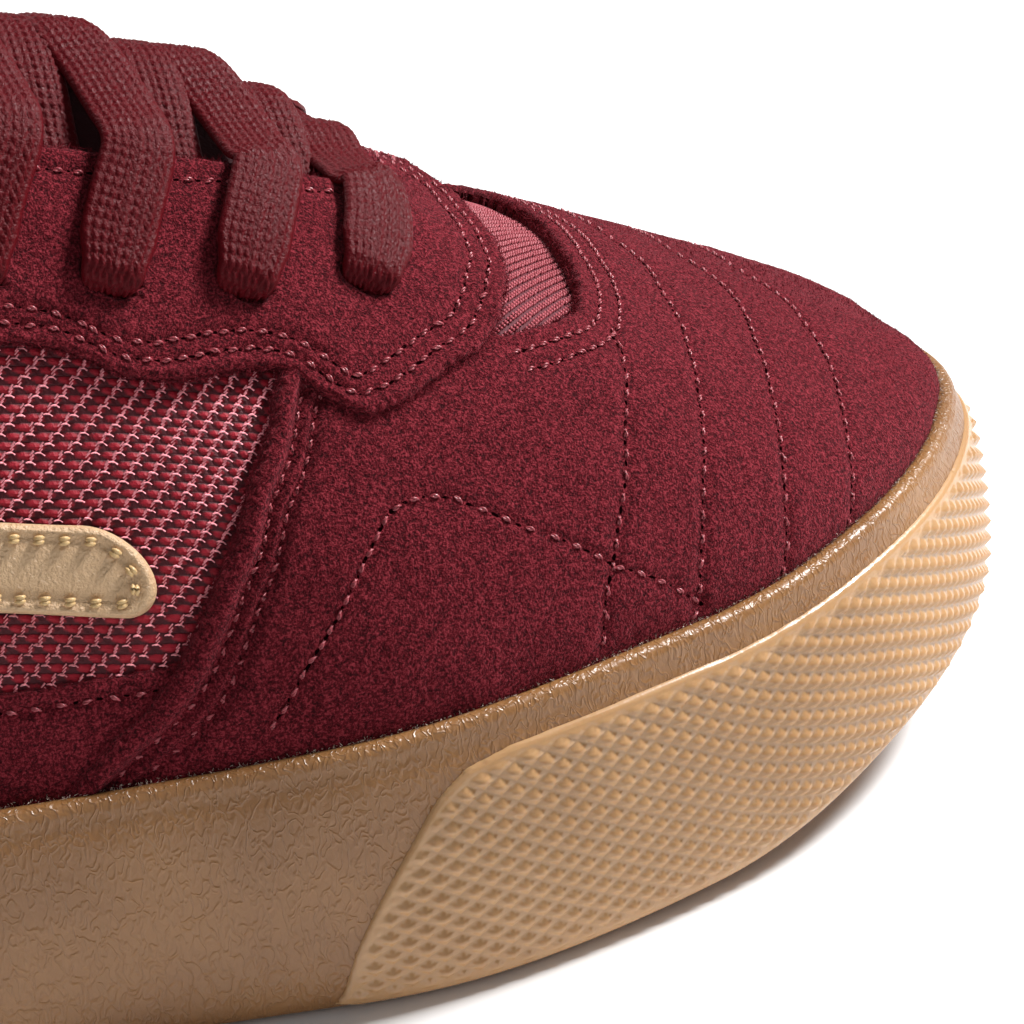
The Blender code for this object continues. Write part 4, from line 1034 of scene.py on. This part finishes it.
def staggered(middle, way, pitch, row, reach=150):
    """Chart places in staggered rows along a direction."""
    down = np.array([way[1], -way[0]])
    i, j = np.meshgrid(np.arange(-reach, reach), np.arange(-reach, reach), indexing="ij")
    offset = (i + 0.5*(j % 2))*pitch
    return (middle + offset[..., None]*way + (j*row)[..., None]*down).reshape(-1, 2)


def inside_window(places, window):
    span = 160.0
    near = (np.abs(places - np.array([120.0, 0.0])) < span).all(1)
    places = places[near]
    return places[window(places) > 0.0]


def quarter_window(points):
    shown = np.minimum(depth_in(points, QUARTER_LOOP), -depth_in(points, LOW_LOOP) + 0.8)
    shown = np.minimum(shown, -depth_in(points, VAMP_LOOP) + 0.8)
    return np.minimum(shown, -depth_in(points, STAY_LOOP) + 1.2)


def crescent_window(points):
    shown = np.minimum(depth_in(points, CRESCENT_LOOP), -depth_in(points, VAMP_LOOP) + 2.0)
    return np.minimum(shown, -depth_in(points, STAY_LOOP) + 2.5)


# Threads of one mark, in mm along and down from its top: start, end, rise, radius and steps
MARK_THREADS = (
    ((-0.20, 0.48), (0.20, 0.00), 0.28, 0.13, 2), ((-0.25, 0.84), (0.18, 0.36), 0.32, 0.13, 2),
    ((-0.25, 1.18), (0.12, 0.74), 0.30, 0.13, 2), ((-0.68, 1.26), (-0.26, 1.12), 0.24, 0.13, 3),
    ((-0.48, 1.20), (0.00, 1.20), 0.36, 0.14, 3), ((-0.10, 1.14), (0.27, 1.42), 0.28, 0.11, 2))


def build_weave():
    """Pale threads of the quarters: an upright rope with a hump and a tail at its foot."""
    places = inside_window(staggered(QUARTER_MIDDLE, ROW_WAY, MARK_PITCH, MARK_ROW), quarter_window)
    rng = np.random.default_rng(11)
    places = places + rng.normal(size=places.shape)*0.04
    u, v, centre, along, side, normal = frames_along(places, np.broadcast_to(ROW_WAY, places.shape))
    side = -side
    base = centre + normal*FABRIC_OFFSET
    size = rng.uniform(0.8, 1.2, size=(len(base), 1))
    parts = []
    for (x0, y0), (x1, y1), rise, radius, steps in MARK_THREADS:
        t = np.linspace(0.0, 1.0, steps)
        jitter = rng.normal(size=(len(base), 1))*0.03
        x = x0 + (x1 - x0)*t + jitter
        y = y0 + (y1 - y0)*t + jitter
        path = (base[:, None] + along[:, None]*x[..., None] + side[:, None]*y[..., None]
                + normal[:, None]*(0.10 + rise*np.sin(math.pi*(0.15 + 0.7*t)))[None, :, None])
        parts.append(tubes(path, radius*size*np.array([0.75, 1.0, 0.7])[:steps], 3))
    make_piece("fabric_weave", *joined(parts), "fabric", PALE)


def build_ribs():
    """Pale beads of the crescent, in slanted ribs."""
    places = inside_window(staggered(chart(12.0, 0.7), RIB_WAY, 0.78, 1.08), crescent_window)
    rng = np.random.default_rng(12)
    u, v, centre, along, side, normal = frames_along(places, np.broadcast_to(RIB_WAY, places.shape))
    base = centre + normal*CRESCENT_OFFSET
    t = np.linspace(-1.0, 1.0, 4)
    parts = []
    for shift in (-0.17, 0.17):
        path = (base[:, None] + along[:, None]*(t*0.36)[None, :, None]
                + side[:, None]*(shift + 0.16*t + rng.normal(size=(len(base), 1))*0.03)[..., None]
                + normal[:, None]*(0.08 + 0.34*(1 - t**2))[None, :, None])
        parts.append(tubes(path, 0.17*np.sqrt(np.clip(1.15 - t**2, 0.0, 1.0)), 3))
    make_piece("crescent_weave", *joined(parts), "fabric", RIB_THREAD)


build_weave()
build_ribs()


# Cupsole
FINE_U = np.arange(COUNT*20)/20


def wall_inset(u, share):
    place, _ = outline(u)
    top = upper_inset(place[..., 0]) - GAP - LIP
    bulge = WALL_BULGE*np.sqrt(np.sin(math.pi*np.clip(share*1.1, 0.0, 1.0)))
    return top*share - bulge


def wall_point(u, height, out=0.0):
    """A point on the sidewall at a height over the sole's bottom."""
    place, way = outline(u)
    share = height/wall_height(place[..., 0])
    flat = place - way*(wall_inset(u, share) - out)[..., None]
    return np.concatenate([flat, (sole_lift(place[..., 0]) + height)[..., None]], -1)


def build_sole():
    u = FINE_U
    place, _ = outline(u)
    height = wall_height(place[..., 0])
    seat = upper_inset(place[..., 0]) - GAP
    rows = [ring(u, 8.6, 0.0), ring(u, 2.4, 0.0), ring(u, 1.2, 0.15)]
    rows += [wall_point(u, height*share) for share in np.linspace(0.035, 0.955, 26)]
    for inset, drop in ((LIP*0.97, 1.0), (LIP*0.85, 0.4), (LIP*0.6, 0.05), (LIP*0.3, 0.0), (LIP*0.05, 0.1),
                        (-0.35, 0.3), (-0.7, 0.7), (-1.2, 4.0)):
        rows.append(ring(u, seat - inset, height - drop))
    points = np.array(rows)
    uv = np.stack([np.tile(u, len(rows)), np.repeat(np.arange(len(rows)), len(u))], 1)
    make_piece("cupsole_wall", points.reshape(-1, 3), grid_faces(len(rows), len(u)),
               "rubber", RUBBER, uv=uv)


GROOVE_PITCH, GROOVE_WIDTH, GROOVE_DEPTH, GROOVE_RIM = 12.0, 2.4, 1.4, 8.5


def build_tread():
    """The sole's underside: grooves across the heel and the forefoot inside a plain rim."""
    plan = outline(FINE_U)[0]
    start = plan[:, 0].min() + GROOVE_RIM
    points, triangles = lattice(np.arange(-2.0, LENGTH + 4.0, 0.6), np.arange(-60.0, 62.0, 5.0))
    points, triangles, depth = cut_out(points, triangles, depth_in(points, plan), (2.0,), 0.0)
    x = points[:, 0]
    beat = np.abs((x - start + GROOVE_PITCH/2) % GROOVE_PITCH - GROOVE_PITCH/2)
    share = x/LENGTH
    on = ((share < 0.27) | (share > 0.52)) & (x > start + 6.0) & (x < LENGTH - GROOVE_RIM - 4.0)
    cut = np.where(on, np.clip((GROOVE_WIDTH/2 + 0.2 - beat)/0.4, 0.0, 1.0), 0.0)
    cut = cut*np.clip((depth - GROOVE_RIM)/0.5, 0.0, 1.0)
    z = sole_lift(x) + cut*GROOVE_DEPTH
    make_piece("cupsole_tread", np.concatenate([points, z[:, None]], 1), triangles[:, ::-1], "rubber", RUBBER,
               smooth=False)


def build_glue_line():
    """The pale crumbs of glue and fuzz where the suede meets the rubber."""
    rng = np.random.default_rng(5)
    count = 7000
    u = rng.uniform(0.0, COUNT, count)
    place, _ = outline(u)
    height = wall_height(place[..., 0]) + rng.normal(size=count)*0.10
    seat = upper_inset(place[..., 0]) - GAP
    base = ring(u, seat + 0.15 + rng.normal(size=count)*0.22, height)
    normal = np.tile(np.array([0.0, 0.0, 1.0]), (count, 1))
    heading = np.concatenate([outline(u)[1], np.zeros((count, 1))], 1)*0.5
    make_piece("glue_line", *fibres(base, normal*0.6, heading, 0.45, 0.11, rng), "rubber", GLUE, smooth=False)


build_sole()
build_tread()
build_glue_line()


# Toe bumper with its pyramids
WALL_RUN_U = np.linspace(0.0, COUNT, COUNT*60 + 1)
WALL_RUN = np.concatenate([[0.0], np.cumsum(np.linalg.norm(np.diff(outline(WALL_RUN_U)[0], axis=0), axis=1))])
BUMPER_END = ((6.40, 1.5), (6.45, 3.5), (6.52, 8.6), (6.64, 14.6), (6.77, 20.0), (6.89, 24.6), (7.02, 27.6))
PYRAMID_ALONG, PYRAMID_UP, PYRAMID_HEIGHT = 1.96, 1.175, 1.02


def wall_run(u):
    return np.interp(u, WALL_RUN_U, WALL_RUN)


def bumper_loop():
    end = np.array([(wall_run(u), h) for u, h in BUMPER_END])
    far = np.array([(wall_run(BUMPER_ENDS[1] + BUMPER_ENDS[0] - u), h) for u, h in BUMPER_END])
    top_u = np.linspace(7.2, BUMPER_ENDS[1] + BUMPER_ENDS[0] - 7.2, 120)
    top = np.stack([wall_run(top_u), wall_height(outline(top_u)[0][:, 0]) - BUMPER_DROP + 0.5], 1)
    bottom_u = np.linspace(6.5, BUMPER_ENDS[1] + BUMPER_ENDS[0] - 6.5, 60)
    bottom = np.stack([wall_run(bottom_u), np.full(60, 0.9)], 1)
    return np.concatenate([soft_curve(end), top, soft_curve(far)[::-1], bottom[::-1]])


def build_bumper():
    loop = bumper_loop()
    n = 3
    x = np.arange(loop[:, 0].min() - 3, loop[:, 0].max() + 3, PYRAMID_ALONG/n)
    y = np.arange(-2*PYRAMID_UP, 33.0, PYRAMID_UP/n)
    points, triangles = lattice(x, y)
    levels = (0.0, 0.25, 0.6, 1.0)
    points, triangles, depth = cut_out(points, triangles, depth_in(points, loop), levels, 1.5)
    s = (points[:, 0] - x[0])/PYRAMID_ALONG
    h = (points[:, 1] - y[0])/PYRAMID_UP
    p, q = (s + h)/2, (s - h)/2
    edge = np.minimum(1 - 2*np.abs(p - np.floor(p) - 0.5), 1 - 2*np.abs(q - np.floor(q) - 0.5))
    soft = np.sqrt(edge**2 + 0.003) - 0.05 - 0.13*edge**3
    fade = np.clip((depth - 0.9)/0.9, 0.0, 1.0)
    flat = 0.45 + 0.10*(1.0 - fade)
    near = np.clip(1.0 - depth/0.7, 0.0, 1.0)
    out = flat + PYRAMID_HEIGHT*soft*fade - 1.0*(1.0 - np.sqrt(1.0 - near**2))
    u = np.interp(points[:, 0], WALL_RUN, WALL_RUN_U)
    place = wall_point(u, points[:, 1], out)
    edges = np.sort(np.concatenate([triangles[:, [0, 1]], triangles[:, [1, 2]], triangles[:, [2, 0]]]), 1)
    unique, number = np.unique(edges, axis=0, return_counts=True)
    rim = unique[number == 1]
    bottom, back = np.unique(rim, return_inverse=True)
    back = back.reshape(-1, 2)
    low_row = wall_point(u[bottom], points[bottom, 1], np.full(len(bottom), -0.8))
    walls = np.concatenate([np.stack([rim[:, 0], rim[:, 1], len(place) + back[:, 0]], 1),
                            np.stack([rim[:, 1], len(place) + back[:, 1], len(place) + back[:, 0]], 1)])
    make_piece("toe_bumper_skin", np.concatenate([place, low_row]), np.concatenate([triangles, walls]),
               "bumper", BUMPER)


build_bumper()


# Inside: lining, padding, tongue and insole
def build_lining():
    u = np.arange(COUNT*8)/8
    rows = [over_last(u, np.full(len(u), v), off) for v, off in
            [(v, -WALL_IN + 0.1) for v in np.linspace(0.0, 0.96, 16)]
            + [(0.985, -2.2), (0.997, -1.1), (0.985, -0.3)]]
    place, _ = outline(u)
    height = wall_height(place[..., 0])
    seat = upper_inset(place[..., 0])
    rows = [ring(u, seat + INSOLE_INSET + WALL_IN, SOLE_FLOOR + GAP),
            ring(u, seat + 2.0 + WALL_IN, 0.45*height + 4.95)] + rows
    points = np.array(rows)
    make_piece("lining", points.reshape(-1, 3), grid_faces(len(rows), len(u))[:, ::-1],
               "lining", LINING)


PAD_END, PAD_THICK = 4.55, 7.0


def build_padding():
    count = 200
    turns = np.linspace(PAD_END, -PAD_END, count)
    share = np.linspace(0.0, 1.0, count)
    taper = np.clip(np.minimum(share, 1.0 - share)/0.10, 0.0, 1.0)**0.5
    levels = np.linspace(0.40, 0.985, 24)
    rows = []
    for number, level in enumerate(levels):
        full = math.sin(math.pi*(number + 0.6)/(len(levels) + 0.4))**0.7
        thick = 0.6 + (PAD_THICK - 0.6)*full*(0.25 + 0.75*taper)
        rows.append(over_last(turns, np.full(count, level), -WALL_IN)
                    - last_normal(turns, np.full(count, level))
                    * thick[:, None])
    top = over_last(turns, np.full(count, 0.99), -1.0)
    points = np.array(rows + [top])
    made = make_piece("collar_cushion", points.reshape(-1, 3), grid_faces(len(points), count, closed=False),
                      "lining", LINING)


# How far the laces press the tongue down, in mm
TONGUE_PRESS = 1.1


def tongue_controls(x, bulge):
    under = -(WALL_IN + TONGUE_CLEAR)
    rim = under - TONGUE_RIM_CLEAR
    share = x/LENGTH
    fades = min(1.0, max(0.0, (share - 0.44)/0.08)), min(1.0, max(0.0, (0.715 - share)/0.03))
    bulge = bulge - TONGUE_PRESS*fades[0]*fades[1]
    outer_u = throat_section(x, OUTER_SPAN)
    inner_u = throat_section(x, INNER_SPAN)
    points = [over_last(outer_u, 0.84, under), over_last(outer_u, 0.975, rim)]
    edges = [over_last(inner_u, 0.975, rim), over_last(inner_u, 0.84, under)]
    crest = 0.5*(last_surface(outer_u, 1.0) + last_surface(inner_u, 1.0))
    crest = crest + np.array([0.30, 0.0, 0.95])*bulge
    shoulder_out = 0.42*points[1] + 0.58*crest + np.array([0.0, 0.0, 0.18])*bulge
    shoulder_in = 0.42*edges[0] + 0.58*crest + np.array([0.0, 0.0, 0.18])*bulge
    return np.array(points + [shoulder_out, crest, shoulder_in] + edges)


def tongue_rows():
    under = -(WALL_IN + TONGUE_CLEAR)
    rows = [np.array([over_last(u, 0.86, under) for u in (9.3, 10.1, 11.0, 12.0, 13.0, 13.9, 14.7)])]
    rows += [tongue_controls(share*LENGTH, bulge) for share, bulge, _ in TONGUE_STATIONS]
    tail = rows[-1]
    middle = tail[3]
    for step, widen in ((0.33, 0.80), (0.66, 0.96), (1.0, 1.06)):
        shifted = (tail - middle)*np.array([1.0, widen, 1.0 - 0.35*step]) + middle
        rows.append(shifted + np.array([-0.80, 0.0, 0.42])*TONGUE_TAIL*step)
    return rows


TONGUE_ACROSS, TONGUE_ALONG = 61, 90   # points of its top face


def build_tongue():
    rows = np.array([through(row, TONGUE_ACROSS) for row in tongue_rows()])
    top = np.array([through(rows[:, k], TONGUE_ALONG) for k in range(TONGUE_ACROSS)]).transpose(1, 0, 2)
    share = np.abs(np.linspace(-1.0, 1.0, TONGUE_ACROSS))
    thick = TONGUE_EDGE + (TONGUE_THICK - TONGUE_EDGE)*(1.0 - share**2.5)
    along = np.gradient(top, axis=0)
    across = np.gradient(top, axis=1)
    normal = np.cross(across, along)
    normal = unit(normal)
    normal = np.where(normal[..., 2:3] < 0, -normal, normal)
    step = np.arange(TONGUE_ALONG)
    ends = np.clip(np.minimum(step/10, step[::-1]/8 + 0.35), 0.4, 1.0)
    bottom = top - normal*(thick[None, :, None]*ends[:, None, None])
    loop = np.concatenate([top, bottom[:, ::-1]], 1)
    around = loop.shape[1]
    faces = grid_faces(TONGUE_ALONG, around)
    tip = np.concatenate([top[-1], bottom[-1, ::-1]])
    cap = np.array([tip*0.5 + tip[::-1]*0.5])
    points = np.concatenate([loop.reshape(-1, 3), cap.reshape(-1, 3)])
    ring_start, cap_start = (TONGUE_ALONG - 1)*around, TONGUE_ALONG*around
    k = np.arange(around)
    after = (k + 1) % around
    cap_faces = np.stack([ring_start + k, ring_start + after, cap_start + after, cap_start + k], 1)
    made = make_piece("tongue_cover", points, np.concatenate([faces, cap_faces]), "fabric", TONGUE)


def build_insole():
    u = np.arange(COUNT*8)/8
    edge = insole_edge(u)
    rows = [ring(u, edge + inset, np.full(len(u), h)) for inset, h in
            ((0.2, SOLE_FLOOR + GAP), (0.2, SOLE_FLOOR + GAP + INSOLE_THICK - 0.8),
             (1.2, SOLE_FLOOR + GAP + INSOLE_THICK))]
    rows += [rows[-1]*np.array([1, 1 - k/8, 1]) + np.array([0, k/8*2.0, 0]) for k in range(1, 9)]
    points = np.array(rows)
    make_piece("insole_cover", points.reshape(-1, 3), grid_faces(len(rows), len(u)),
               "fabric", LINING)


build_lining()
build_padding()
build_tongue()
build_insole()


# Laces
LACE_WIDTH, LACE_THICK = 8.4, 1.5
LACE_END_WIDTH = 7.0         # where the lace dives into an eyelet
LACE_STEP, LACE_ACROSS = 0.36, 37   # length of a step of the mesh, and points across one face
BRAID_PITCH = 1.25
RIBS = 9


def bed_bulge(x):
    stations = [share*LENGTH for share, _, _ in reversed(TONGUE_STATIONS)]
    bulges = [bulge for _, _, bulge in reversed(TONGUE_STATIONS)]
    return along_stations(stations, bulges, x)


def lace_bed(row, c, lift=0.0, under=0.0):
    """A point on the bed that the laces lie on. row counts eyelet rows, c runs from -1 to 1 across."""
    throat_x = eyelet_x(row) + THROAT_LEAD
    edge_at = 0.52
    half = 0.5*LACE_THICK + 0.5 + lift
    span = OUTER_SPAN if c < 0 else INNER_SPAN
    if abs(c) > edge_at:
        share = (abs(c) - edge_at)/(1.0 - edge_at)
        u_throat = throat_section(throat_x, span)
        u_eyelet = eyelet_section(row, span)
        u = u_throat + (u_eyelet - u_throat)*share
        v = 1.0 + (EYELET_LEVEL - 1.0)*share
        return over_last(u, v, half + float(stay_top(np.array([u]))[0]) - 0.1)
    controls = tongue_controls(throat_x, float(bed_bulge(throat_x)))[1:6]
    place = (c/edge_at + 1.0)/2.0
    fine = through(controls, 41)
    k = place*40.0
    first = int(min(39, math.floor(k)))
    point = fine[first] + (fine[first + 1] - fine[first])*(k - first)
    run = fine[first + 1] - fine[first]
    up = np.cross(run, np.array([-1.0, 0.0, 0.25]))
    up = up/np.linalg.norm(up)
    edge_lift = (WALL_IN + TONGUE_CLEAR + TONGUE_RIM_CLEAR + 2*GAP + 0.8)*(1.0 - under)
    return point + up*(half + edge_lift*abs(c/edge_at)**2.2)


def lace(path, lifts, dive_first, dive_last):
    """A flat braided lace along bed places (row, c, under) that dives into the eyelets at its ends."""
    centre = np.array([lace_bed(row, c, lift, under) for (row, c, under), lift in zip(path, lifts)])
    above = np.array([lace_bed(row, c, lift + 0.5, under)
                      for (row, c, under), lift in zip(path, lifts)]) - centre
    run = np.concatenate([[0.0], np.cumsum(np.linalg.norm(np.diff(centre, axis=0), axis=1))])
    count = int(run[-1]/LACE_STEP)
    at = np.linspace(0.0, run[-1], count)
    share = np.interp(at, run, np.arange(len(centre)))
    centre = evened(through_at(centre, share), 9)
    above = evened(through_at(above, share), 13)
    room = np.minimum(at if dive_first else 99.0, (run[-1] - at) if dive_last else 99.0)
    width = LACE_END_WIDTH + (LACE_WIDTH - LACE_END_WIDTH)*np.clip(room/3.0, 0.0, 1.0)
    ahead = np.gradient(centre, axis=0)
    ahead = ahead/np.linalg.norm(ahead, axis=1, keepdims=True)
    normal = above - ahead*(above*ahead).sum(1)[:, None]
    normal = normal/np.linalg.norm(normal, axis=1, keepdims=True)
    across = np.cross(normal, ahead)
    for dive, end in ((dive_first, 0), (dive_last, -1)):
        if not dive:
            continue
        way = -ahead[0] if end == 0 else ahead[-1]
        turn = np.linspace(0.0, 1.0, 12)[1:, None]
        bend = 1.7
        angle = turn*1.9
        more = centre[end] + bend*(way*np.sin(angle) - normal[end]*(1 - np.cos(angle)))
        tip_normal = normal[end]*np.cos(angle) + way*np.sin(angle)
        tip_across = np.repeat(across[end][None], len(turn), 0)
        tip_width = width[end]*(0.52 + 0.48*np.sqrt(1.0 - 0.98*turn[:, 0]**2))
        if end == 0:
            tip = more, tip_normal, tip_across, tip_width
            more, tip_normal, tip_across, tip_width = (k[::-1] for k in tip)
            centre = np.concatenate([more, centre])
            normal = np.concatenate([tip_normal, normal])
            across = np.concatenate([tip_across, across])
            width = np.concatenate([tip_width, width])
        else:
            centre = np.concatenate([centre, more])
            normal = np.concatenate([normal, tip_normal])
            across = np.concatenate([across, tip_across])
            width = np.concatenate([width, tip_width])
    size = np.concatenate([[0.0], np.cumsum(np.linalg.norm(np.diff(centre, axis=0), axis=1))])
    s = np.linspace(-1.0, 1.0, LACE_ACROSS)
    half = 0.5*LACE_THICK*(1.0 - np.abs(s)**3.5)**0.5 + 0.08
    rib = s*RIBS/2
    beat = 2*math.pi*(size[:, None]/BRAID_PITCH + 0.30*np.sign(np.sin(math.pi*rib*2))[None])
    ridge = (0.24*np.abs(np.cos(math.pi*rib))[None]
             + 0.19*np.sin(beat + 2.0*np.abs(rib - np.round(rib))[None]*math.pi))
    fade = (1.0 - np.abs(s)**6)[None]
    top = (centre[:, None] + across[:, None]*(0.5*width[:, None, None]*s[None, :, None])
           + normal[:, None]*(half[None] + ridge*fade)[..., None])
    low_side = (centre[:, None] + across[:, None]*(0.5*width[:, None, None]*s[None, ::-1, None])
                - normal[:, None]*(half[None, ::-1]*np.ones((len(centre), 1)))[..., None])[:, ::6]
    loop = np.concatenate([top, low_side], 1)
    faces = grid_faces(len(loop), loop.shape[1])
    return loop.reshape(-1, 3), faces


# How many rows a strand leans forwards, from the far throat edge to its own eyelet
LEAN_NEAR = ((-0.52, -0.32), (-0.25, -0.28), (0.0, -0.17), (0.25, 0.03), (0.52, 0.14), (0.98, 0.0))
LEAN_FAR = ((-0.52, 0.54), (-0.25, 0.50), (0.0, 0.43), (0.25, 0.36), (0.52, 0.25), (0.98, 0.0))


def evened(points, width):
    """A moving average that leaves both ends where they are."""
    reach = width//2
    padded = np.concatenate([2*points[0] - points[reach:0:-1], points, 2*points[-1] - points[-2:-reach-2:-1]])
    return np.mean([padded[k:k + len(points)] for k in range(width)], axis=0)


def lace_paths():
    """One bar at the front, then for each row a strand from each side."""
    share = np.linspace(0.0, 1.0, 25)
    bar = [-0.98 + 1.96*s for s in share]
    yield ([(0.10*max(0.0, c), c, 0.0) for c in bar], [0.2]*25, True, True)
    for row in range(1, EYELET_ROWS):
        for side, table in ((-1.0, LEAN_NEAR), (1.0, LEAN_FAR)):
            path, lifts = [], []
            for s in share:
                c = 0.98 - 1.50*s
                lean = float(along_stations([k[0] for k in table], [k[1] for k in table], np.array(c)))
                under = float(np.clip((0.10 - c)/0.5, 0.0, 1.0))
                path.append((row - lean, side*c, under))
                lifts.append((1.0 if side < 0 else 0.0)*max(0.0, 1.0 - abs(c)*1.2) + 0.3*(1 - under))
            yield path, lifts, True, False


def build_laces():
    parts = [lace(*strand) for strand in lace_paths()]
    points, faces = joined(parts)
    make_piece("laces", points, faces, "lace", LACE)


def build_shade_in_eyelets():
    """A near-black cup behind each eyelet: painted shade inside the hole."""
    turn = 2*math.pi*np.arange(20)/20
    points, faces = [], []
    for number, (u, v) in enumerate(EYELETS):
        rim = chart(u, v) + 3.1*np.stack([np.cos(turn), np.sin(turn)], 1)
        rim_u, rim_v = unchart(rim)
        points += [over_last(rim_u, rim_v, -0.9), over_last(np.array([u]), np.array([v]), -1.4)]
        first = number*21
        faces += [(first + k, first + (k + 1) % 20, first + 20) for k in range(20)]
    make_piece("eyelet_shade_cups", np.concatenate(points), np.array(faces), "suede", EYELET_SHADE)


build_shade_in_eyelets()
build_laces()

# Plain patches of smooth leather on the sides
PATCHES = (("side_patch_outer_cover", 5.35, 0.325), ("side_patch_inner_cover", 18.65, 0.325))
PATCH_LENGTH, PATCH_WIDTH, PATCH_THICK = 54.0, 11.8, 1.1


def middle_loop(loop, inset):
    """A closed loop moved inwards."""
    centre = loop.mean(0)
    moved = sideways(loop, inset, True)
    if np.abs(moved - centre).max() > np.abs(loop - centre).max():
        moved = sideways(loop, -inset, True)
    return moved


def build_patches():
    parts = []
    for name, middle, level in PATCHES:
        metre_u = np.linalg.norm(on_closed(OUTLINE, OUTLINE_SLOPES, np.array([middle]), derivative=True))
        metre_v = np.linalg.norm(last_surface(middle, level + 0.05) - last_surface(middle, level - 0.05))/0.1
        t = np.linspace(0.0, 2*math.pi, 90, endpoint=False)
        straight = PATCH_LENGTH/2 - PATCH_WIDTH/2
        x = np.cos(t)*PATCH_WIDTH/2 + np.sign(np.cos(t))*straight
        y = np.sin(t)*PATCH_WIDTH/2
        loop = chart(middle + x/metre_u, level + y/metre_v)
        corner, high_corner = loop.min(0) - 2, loop.max(0) + 2
        points, triangles = lattice(*(np.arange(corner[k], high_corner[k], 0.6) for k in (0, 1)))
        depth = depth_in(points, loop)
        points, triangles, used = keep_only(points, triangles, (depth[triangles] > -1.0).any(1))
        depth = depth[used]
        for cut_level in (0.0, 0.3, 0.7):
            points, triangles, depth = split(points, triangles, depth, cut_level)
            if cut_level == 0.0:
                points, triangles, used = keep_only(points, triangles, depth[triangles].max(1) > 1e-9)
                depth = depth[used]
        near = np.clip(1.0 - depth/0.7, 0.0, 1.0)
        height = (FABRIC_OFFSET + 0.3 + PATCH_THICK - 0.9*(1 - np.sqrt(1 - near**2))
                  + 0.25*np.exp(-((depth - 0.9)/0.5)**2) - 0.30*np.exp(-((depth - 1.9)/0.5)**2))
        u, v = unchart(points)
        make_piece(name, over_last(u, v, height), triangles, "leather", LEATHER)
        inset_loop = middle_loop(loop, 1.9)
        places, ahead = evenly(inset_loop, 2.3, True)
        u, v, centre, along, side, normal = frames_along(places, ahead)
        base = centre + normal*(FABRIC_OFFSET + 0.25 + PATCH_THICK)
        t = np.linspace(-1.0, 1.0, 7)
        for shift in (-0.22, 0.22):
            path = (base[:, None] + along[:, None]*(t*0.58)[None, :, None]
                    + side[:, None]*(shift + 0.10*t)[None, :, None]
                    + normal[:, None]*(0.10 + 0.36*(1 - t**2))[None, :, None])
            parts.append(tubes(path, 0.30*np.sqrt(np.clip(1.05 - t**2, 0.0, 1.0)), 5))
    make_piece("patch_stitches", *joined(parts), "leather", GOLD)


build_patches()

STANDS_FOR = {"cupsole": "cupsole_wall", "toe_bumper": "toe_bumper_skin", "upper": "vamp",
              "insole": "insole_cover", "collar_padding": "collar_cushion", "tongue": "tongue_cover",
              "side_patch_outer": "side_patch_outer_cover", "side_patch_inner": "side_patch_inner_cover"}
STANDS_FOR.update({f"lace_crossing_{k}": "laces" for k in range(1, EYELET_ROWS)})
for node, piece in STANDS_FOR.items():
    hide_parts(node)


# Floor, light and camera
def plane(name, size, look):
    mesh = bpy.data.meshes.new(name)
    corners = [(-size, -size, 0), (size, -size, 0), (size, size, 0), (-size, size, 0)]
    mesh.from_pydata(corners, [], [(0, 1, 2, 3)])
    mesh.materials.append(look)
    made = bpy.data.objects.new(name, mesh)
    bpy.context.scene.collection.objects.link(made)
    return made


floor = plane("floor", 6.0, plain_look("floor", (0.93, 0.93, 0.93), 0.9))


def lamp(name, place, target, size, power):
    data = bpy.data.lights.new(name, "AREA")
    data.shape = "RECTANGLE"
    data.size, data.size_y = size
    data.energy = power
    made = bpy.data.objects.new(name, data)
    bpy.context.scene.collection.objects.link(made)
    made.location = place
    made.rotation_mode = "QUATERNION"
    made.rotation_quaternion = (Vector(place) - Vector(target)).to_track_quat("Z", "Y")


lamp("key", (0.90, 0.04, 1.00), (0.07, 0.0, 0.05), (0.34, 0.34), 31.0)
lamp("fill", (-0.5, -1.1, 0.9), (0.05, 0.0, 0.05), (1.2, 0.8), 1.6)
lamp("back", (0.1, 1.2, 0.8), (0.05, 0.0, 0.05), (1.0, 0.6), 3.5)

world = bpy.data.worlds.new("studio")
world.use_nodes = True
world.node_tree.nodes["Background"].inputs["Color"].default_value = (0.95, 0.97, 1.0, 1.0)
world.node_tree.nodes["Background"].inputs["Strength"].default_value = 0.16
bpy.context.scene.world = world
bpy.context.scene.view_settings.view_transform = "Standard"

camera_data = bpy.data.cameras.new("camera")
camera = bpy.data.objects.new("camera", camera_data)
bpy.context.scene.collection.objects.link(camera)
# The camera fitted to the photograph: distance in m, focal length in pixels, and the point it aims at,
# in mm along and across the shoe and in m above the floor
CAMERA_AWAY, CAMERA_FOCAL = 0.34893, 2945.66
CAMERA_AIM, CAMERA_AIM_HEIGHT = (223.1, -19.62), 0.03938
PICTURE_WIDTH, SENSOR_WIDTH = 1024, 36.0

azimuth, elevation, roll = math.radians(21.26), math.radians(25.13), math.radians(-3.14)
back = Vector((-math.sin(azimuth)*math.cos(elevation), -math.cos(azimuth)*math.cos(elevation),
               math.sin(elevation)))
right = Vector((math.cos(azimuth), -math.sin(azimuth), 0.0))
up = back.cross(right)
right, up = math.cos(roll)*right + math.sin(roll)*up, -math.sin(roll)*right + math.cos(roll)*up
target = Vector(((CAMERA_AIM[0] + SHIFT[0])/1000, (CAMERA_AIM[1] + SHIFT[1])/1000, CAMERA_AIM_HEIGHT))
camera.matrix_world = Matrix.Translation(target + back*CAMERA_AWAY) @ Matrix(
    ((right.x, up.x, back.x), (right.y, up.y, back.y), (right.z, up.z, back.z))).to_4x4()
camera_data.lens = SENSOR_WIDTH*CAMERA_FOCAL/PICTURE_WIDTH
camera_data.sensor_width = SENSOR_WIDTH
camera_data.clip_start = 0.01
bpy.context.scene.camera = camera
